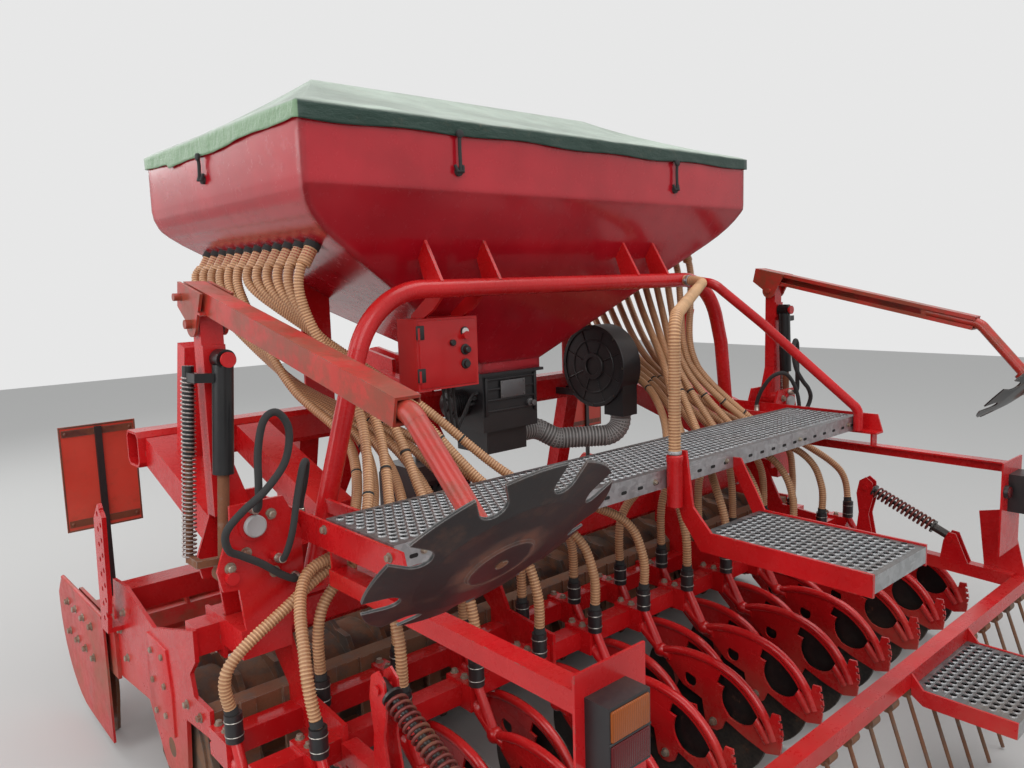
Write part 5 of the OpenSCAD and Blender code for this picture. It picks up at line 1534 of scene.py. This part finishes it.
# X and Z of a switch, its profile, sides and finish, of white and black
SWITCHES = (
    (-0.450, 1.448, [(0.0, 0.013), (0.010, 0.013), (0.013, 0.010)], 24, 0),
    (-0.450, 1.448, [(0.0, 0.017), (0.004, 0.017)], 24, 1),
    (-0.450, 1.385, [(0.0, 0.019), (0.004, 0.019), (0.006, 0.013), (0.022, 0.012), (0.025, 0.009)], 24, 1),
    (-0.450, 1.335, [(0.0, 0.018), (0.005, 0.018), (0.007, 0.012), (0.016, 0.012)], 24, 1),
    (-0.505, 1.412, [(0.0, 0.011), (0.010, 0.011), (0.012, 0.009)], 20, 1),
)


class LampsAndBox(bpy.types.Operator):
    """Add the lamp lenses, the reflectors and the control box's switches"""

    bl_idname = "drill.lamps_and_box"
    bl_label = "Lamps and control box"

    def execute(self, context):
        for side, word in SIDES:
            x0, x1 = sorted((1.186 * side, 1.079 * side))
            for name, material, past, (y0, y1), (z0, z1), radius, segments in LAMP_BLOCKS:
                bm = bmesh.new()
                add_block(bm, (x0 - past, y0, z0), (x1 + past, y1, z1), radius, segments)
                from_bmesh(name + word, bm, "lamp_plastic", material)
            bm = bmesh.new()
            add_lathe(bm, [(0.0, 0.021), (0.004, 0.021), (0.006, 0.018), (0.006, 0.0)],
                      (1.045 * side, -1.249, 0.800), REAR)
            from_bmesh("reflector_" + word, bm, "lamp_plastic", "lens_red")
        front = BOX_DOOR_Y - PANEL_RISE
        bm = bmesh.new()
        add_block(bm, (-0.642, front, 1.263), (-0.398, BOX_DOOR_Y + 0.001, 1.492), 0.003)
        from_bmesh("door_panel", bm, "red_paint", "box_red", body="control_box_door")
        bm = bmesh.new()
        for x, z, profile, sides, index in SWITCHES:
            add_pin(bm, profile, (x, front, z), REAR, sides, index)
        for z in (1.285, 1.430):
            add_block(bm, (-0.655, front - 0.004, z), (-0.622, front + 0.002, z + 0.048), 0.003, 2, 1)
        from_bmesh("box_switches", bm, "lamp_plastic", "button_white", "switch_black",
                   body="control_box_door")
        return {"FINISHED"}


BOARD_ENDS = (1.232, 1.506)
BOARD_RIM = 0.006
SCREW_HEAD = [(0.0, 0.0), (0.0, 0.0065), (0.0025, 0.0060), (0.0040, 0.0035), (0.0042, 0.0)]
RIM_RISE = 0.0016


class TrimBoards(bpy.types.Operator):
    """Edge the marking boards with their rims and screws"""

    bl_idname = "drill.trim_boards"
    bl_label = "Trim the boards"

    def execute(self, context):
        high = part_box("warning_boards")[1]
        rear = high.y - 0.003
        near = rear - RIM_RISE
        far = rear + 0.0005
        for side, word in SIDES:
            x0, x1 = sorted(side * end for end in BOARD_ENDS)
            bm = bmesh.new()
            for z in (0.7425, 1.0925):
                for x in (x0 + 0.022, x1 - 0.022):
                    add_lathe(bm, SCREW_HEAD, (x, rear - 0.003, z), REAR, 12)
            for x in (x0 + 0.0005, x1 - 0.0065):
                add_block(bm, (x, near, 0.713), (x + BOARD_RIM, far, high.z - 0.001), 0.001)
            for z in (0.7125, high.z - 0.007):
                add_block(bm, (x0 + 0.007, near, z), (x1 - 0.007, far, z + BOARD_RIM), 0.001)
            from_bmesh("board_rims_" + word, bm, "red_paint", "board_strip")
        return {"FINISHED"}


class HangHooks(bpy.types.Operator):
    """Hang the rubber hooks that hold the cover down"""

    bl_idname = "drill.hang_hooks"
    bl_label = "Hang the hooks"

    def execute(self, context):
        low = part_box("hopper")[0]
        hooks = ((-0.548, low.y, 2.088, 1.971, REAR), (0.585, low.y, 2.078, 1.971, REAR),
                 (low.x, 0.600, 2.066, 1.990, -RIGHT), (-low.x, 0.600, 2.075, 1.990, RIGHT))
        bm = bmesh.new()
        for x, y, top, foot, out in hooks:
            self.hook(bm, Vector((x, y, top)), Vector((x, y, foot)), out)
        from_bmesh("cover_hooks", bm, "lamp_plastic", "black_rubber")
        return {"FINISHED"}

    @staticmethod
    def hook(bm, top, low, out):
        """A rubber strap from the cover's eyelet down to its hook on the wall."""
        across = out.cross(UP)
        add_tube(bm, [top + out * 0.016, top.lerp(low, 0.35) + out * 0.014, low + out * 0.016], 0.0058)
        add_pin(bm, [(0.0, 0.014), (0.010, 0.014), (0.012, 0.011)], low, out, 16)
        bend = [(0.008, -0.016, 0.020), (0.014, -0.012, 0.0), (0.016, 0.012, 0.0), (0.008, 0.016, 0.020)]
        add_tube(bm, [low + out * off + across * aside + UP * rise for off, aside, rise in bend], 0.0055, 8)
        add_pin(bm, [(0.0, 0.013), (0.008, 0.013), (0.010, 0.010)], top + out * 0.013, out, 16)


ROLLER_BOLTS = [(0.305, 0.335), (0.320, 0.430), (0.320, 0.525), (0.220, 0.350), (0.215, 0.445),
                (0.220, 0.535), (0.040, 0.455), (-0.060, 0.455), (0.600, 0.560), (0.600, 0.400),
                (0.660, 0.480)]
FLANGE = [(0.165, 0.300), (0.345, 0.285), (0.372, 0.400), (0.355, 0.572), (0.185, 0.568), (0.160, 0.440)]
FOOT_BOLTS = [(1.375, 0.930), (1.300, 0.860), (1.300, 1.020), (1.420, 0.900)]
FAN_BOLT_CIRCLE = 0.181
# Where a bolt's ray starts beside the machine, how far it goes and how square it has to meet the face
OUTSIDE = 1.9
RAY_LENGTH = 1.5
SQUARE_HIT = 0.9


class DriveBolts(bpy.types.Operator):
    """Seat the roller arms' flanges and the bolts of the frame, the coulter clamps and the brackets"""

    bl_idname = "drill.drive_bolts"
    bl_label = "Drive the bolts"

    def execute(self, context):
        for side, word in SIDES:
            self.flange(side, word)
        spots = []
        for name, start, direction, scale in self.wanted():
            hit = self.seat(name, Vector(start), Vector(direction))
            if hit is not None:
                spots.append((hit, -Vector(direction), scale))
        mesh = bpy.data.meshes.new("bolt_seeds")
        mesh.from_pydata([place for place, _, _ in spots], [], [])
        mesh.attributes.new("facing", "FLOAT_VECTOR", "POINT")
        mesh.attributes.new("grow", "FLOAT", "POINT")
        mesh.attributes["facing"].data.foreach_set("vector", [value for _, way, _ in spots for value in way])
        mesh.attributes["grow"].data.foreach_set("value", [scale for _, _, scale in spots])
        values = {"Size": context.scene.drill_fasteners.bolt, "Material": finish("bolt_zinc")}
        grown("frame_bolts", "hexagon_bolts", values, mesh)
        return {"FINISHED"}

    @staticmethod
    def wanted():
        """Node, start, direction and size of each bolt."""
        bolts = []
        for word, y in RANKS.items():
            for row in rows_of(word):
                x = row_x(row)
                for step in (-0.018, 0.030):
                    bolts.append(("coulters_" + word, (x, y + 0.365 + step, 0.60), -UP, 0.8))
                bolts.append(("coulters_" + word, (x - 0.20, y, AXLE_Z), RIGHT, 0.9))
        for side, word in SIDES:
            inwards = RIGHT * -side
            for x, z in FOOT_BOLTS:
                bolts.append(("drill_frame", (side * x, -0.60, z), -REAR, 1.0))
            for x in (1.070, 1.160):
                for y in (-0.060, 0.012):
                    bolts.append(("arch_frame", (side * x, y, 1.2), -UP, 1.0))
            for y in (-0.640, -0.330):
                bolts.append(("lamp_bar_" + word, (side * 1.5, y, 0.985), inwards, 0.8))
            for x in (0.20, 0.70, 1.10):
                bolts.append(("walkway", (side * x, -0.9, 0.968), -REAR, 0.6))
            low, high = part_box("harrow_side_" + word)
            middle = (low.y + high.y) / 2
            for off in (-0.16, -0.05, 0.06, 0.17):
                for z in (0.30, 0.42):
                    start = (side * OUTSIDE, middle + off, z)
                    bolts.append(("harrow_side_" + word, start, inwards, 1.0))
            for y, z in ROLLER_BOLTS:
                bolts.append(("roller_frame", (side * OUTSIDE, y, z), inwards, 0.9))
            for place in circle(Vector((0.30, FAN_HUB.y, FAN_HUB.z)), FAN_BOLT_CIRCLE, 8, -REAR, UP):
                bolts.append(("fan", place, RIGHT, 0.45))
        return bolts

    def flange(self, side, word):
        """A plate with eased edges on the outside of a roller arm."""
        start = Vector((side * OUTSIDE, FLANGE[-1][0] + 0.03, FLANGE[-1][1]))
        face = abs(self.seat("roller_frame", start, RIGHT * -side).x)
        bm = bmesh.new()
        add_plate(bm, FLANGE, side * (face - 0.0015), side * (face + 0.0050))
        bmesh.ops.recalc_face_normals(bm, faces=bm.faces[:])
        edges = [edge for edge in bm.edges if all(abs(vert.co.x) > face for vert in edge.verts)]
        bmesh.ops.bevel(bm, geom=edges, offset=0.0015, segments=2, profile=0.5, affect="EDGES")
        from_bmesh("arm_flange_" + word, bm, "red_paint", "frame_red")

    @staticmethod
    def seat(name, start, direction):
        """Where a bolt driven from a start point meets a node's surface."""
        data = NODES[name].data
        corners = [vert.co for vert in data.vertices]
        tree = BVHTree.FromPolygons(corners, [face.vertices for face in data.polygons])
        place, normal, _, _ = tree.ray_cast(start, direction, RAY_LENGTH)
        if place is None or abs(normal.dot(direction)) < SQUARE_HIT:
            return None
        return place - direction * 0.001


FLOOR_REACH = 14.0
# Name, place, aim, size and power of the lamps
LIGHTS = (("side_door", (-6.0, 0.6, 3.2), (0, 0.2, 1.3), 4.0, 95.0),
          ("window_left", (-3.5, -4.5, 4.5), (0, 0, 1.0), 4.0, 105.0),
          ("open_door", (-2.0, 6.0, 4.5), (0, 0, 1.4), 4.0, 110.0),
          ("roof_light", (1.5, -1.5, 6.5), (0, 0, 1.0), 4.5, 110.0))
# The camera's place and its right, up and back directions, fitted to the photograph
EYE = (-2.192, -2.200, 1.620)
EYE_AXES = ((0.74757535, -0.66352497, -0.02942308), (0.10668014, 0.07623283, 0.99136668),
            (-0.65555354, -0.74426015, 0.12777472))


class BuildStage(bpy.types.Operator):
    """Set the floor, the soft light and the camera at the photograph's place"""

    bl_idname = "drill.build_stage"
    bl_label = "Build the stage"

    def execute(self, context):
        stage = context.scene.drill_stage
        context.scene.view_settings.view_transform = "Standard"
        mesh = bpy.data.meshes.new("floor")
        corners = [(x * FLOOR_REACH, y * FLOOR_REACH, 0) for x, y in ((-1, -1), (1, -1), (1, 1), (-1, 1))]
        mesh.from_pydata(corners, [], [(0, 1, 2, 3)])
        floor = placed("floor", mesh)
        material = new_material("floor_pale")[0]
        close_material(material, Base_Color=tuple(stage.floor), Roughness=0.9)
        floor.data.materials.append(material)
        self.sky(context.scene, stage.light)
        for name, place, aim, size, power in LIGHTS:
            light = bpy.data.lights.new(name, "AREA")
            light.shape = "DISK"
            light.size = size
            light.energy = power
            lamp = placed(name, light)
            lamp.location = place
            lamp.rotation_mode = "QUATERNION"
            lamp.rotation_quaternion = (Vector(aim) - Vector(place)).to_track_quat("-Z", "Y")
        camera = bpy.data.cameras.new("photograph_view")
        camera.lens = stage.lens
        camera.sensor_width = 36.0
        camera.clip_start = 0.05
        camera.clip_end = 60.0
        eye = placed("photograph_view", camera)
        eye.matrix_world = Matrix.Translation(EYE) @ Matrix(EYE_AXES).transposed().to_4x4()
        context.scene.camera = eye
        return {"FINISHED"}

    @staticmethod
    def sky(scene, strength):
        """A soft sky for the light, and a plain grey one behind the machine."""
        scene.world = bpy.data.worlds.new("soft_sky")
        scene.world.use_nodes = True
        tree = scene.world.node_tree
        tree.nodes.clear()
        out = node(tree, "ShaderNodeOutputWorld")
        place = node(tree, "ShaderNodeTexCoord").outputs["Generated"]
        height = ramp(tree, axes(tree, place)["Z"], -0.15, 0.85)
        shade = mix(tree, height, (0.42, 0.42, 0.43), (0.98, 0.99, 1.0))
        sky = node(tree, "ShaderNodeBackground", Color=shade, Strength=strength)
        plain = node(tree, "ShaderNodeBackground", Color=(0.80, 0.80, 0.80), Strength=1.0)
        rays = node(tree, "ShaderNodeLightPath").outputs
        seen = plus(tree, rays["Is Camera Ray"], rays["Is Glossy Ray"], True)
        seen = plus(tree, seen, rays["Is Transmission Ray"], True)
        choose = node(tree, "ShaderNodeMixShader")
        for socket, value in zip(choose.inputs, (seen, sky.outputs[0], plain.outputs[0])):
            feed(tree, socket, value)
        feed(tree, out.inputs["Surface"], choose.outputs[0])


class DrillPanel(bpy.types.Panel):
    """Lists the dressing steps and their settings"""

    bl_idname = "VIEW3D_PT_seed_drill"
    bl_label = "Seed Drill"
    bl_space_type = "VIEW_3D"
    bl_region_type = "UI"
    bl_category = "Seed Drill"

    def draw(self, context):
        layout = self.layout
        for operator in STEPS:
            layout.operator(operator.bl_idname)
        for attribute, _ in SETTINGS:
            group = getattr(context.scene, attribute)
            box = layout.box()
            for name in group.__annotations__:
                box.prop(group, name)


SETTINGS = (
    ("drill_paint", PaintSettings),
    ("drill_cover", CoverSettings),
    ("drill_hoses", HoseSettings),
    ("drill_tread", TreadSettings),
    ("drill_fasteners", FastenerSettings),
    ("drill_stage", StageSettings),
)
STEPS = (BuildStage, PaintSolids, FitHoses, FitCables, DressMetering, DrapeCover, RaiseTread, ClipBoots,
         HoopCoulters, PressHarrow, DressMarkers, LampsAndBox, TrimBoards, HangHooks, DriveBolts)


def register():
    """Registers the settings, the operators and the panel."""
    for attribute, settings in SETTINGS:
        bpy.utils.register_class(settings)
        setattr(bpy.types.Scene, attribute, PointerProperty(type=settings))
    for operator in STEPS:
        bpy.utils.register_class(operator)
    bpy.utils.register_class(DrillPanel)


def unregister():
    """Takes everything out again."""
    bpy.utils.unregister_class(DrillPanel)
    for operator in reversed(STEPS):
        bpy.utils.unregister_class(operator)
    for attribute, settings in reversed(SETTINGS):
        delattr(bpy.types.Scene, attribute)
        bpy.utils.unregister_class(settings)


def main():
    """Dresses the drill."""
    register()
    for step in STEPS:
        getattr(bpy.ops.drill, step.bl_idname.split(".")[1])()


if __name__ == "__main__":
    main()
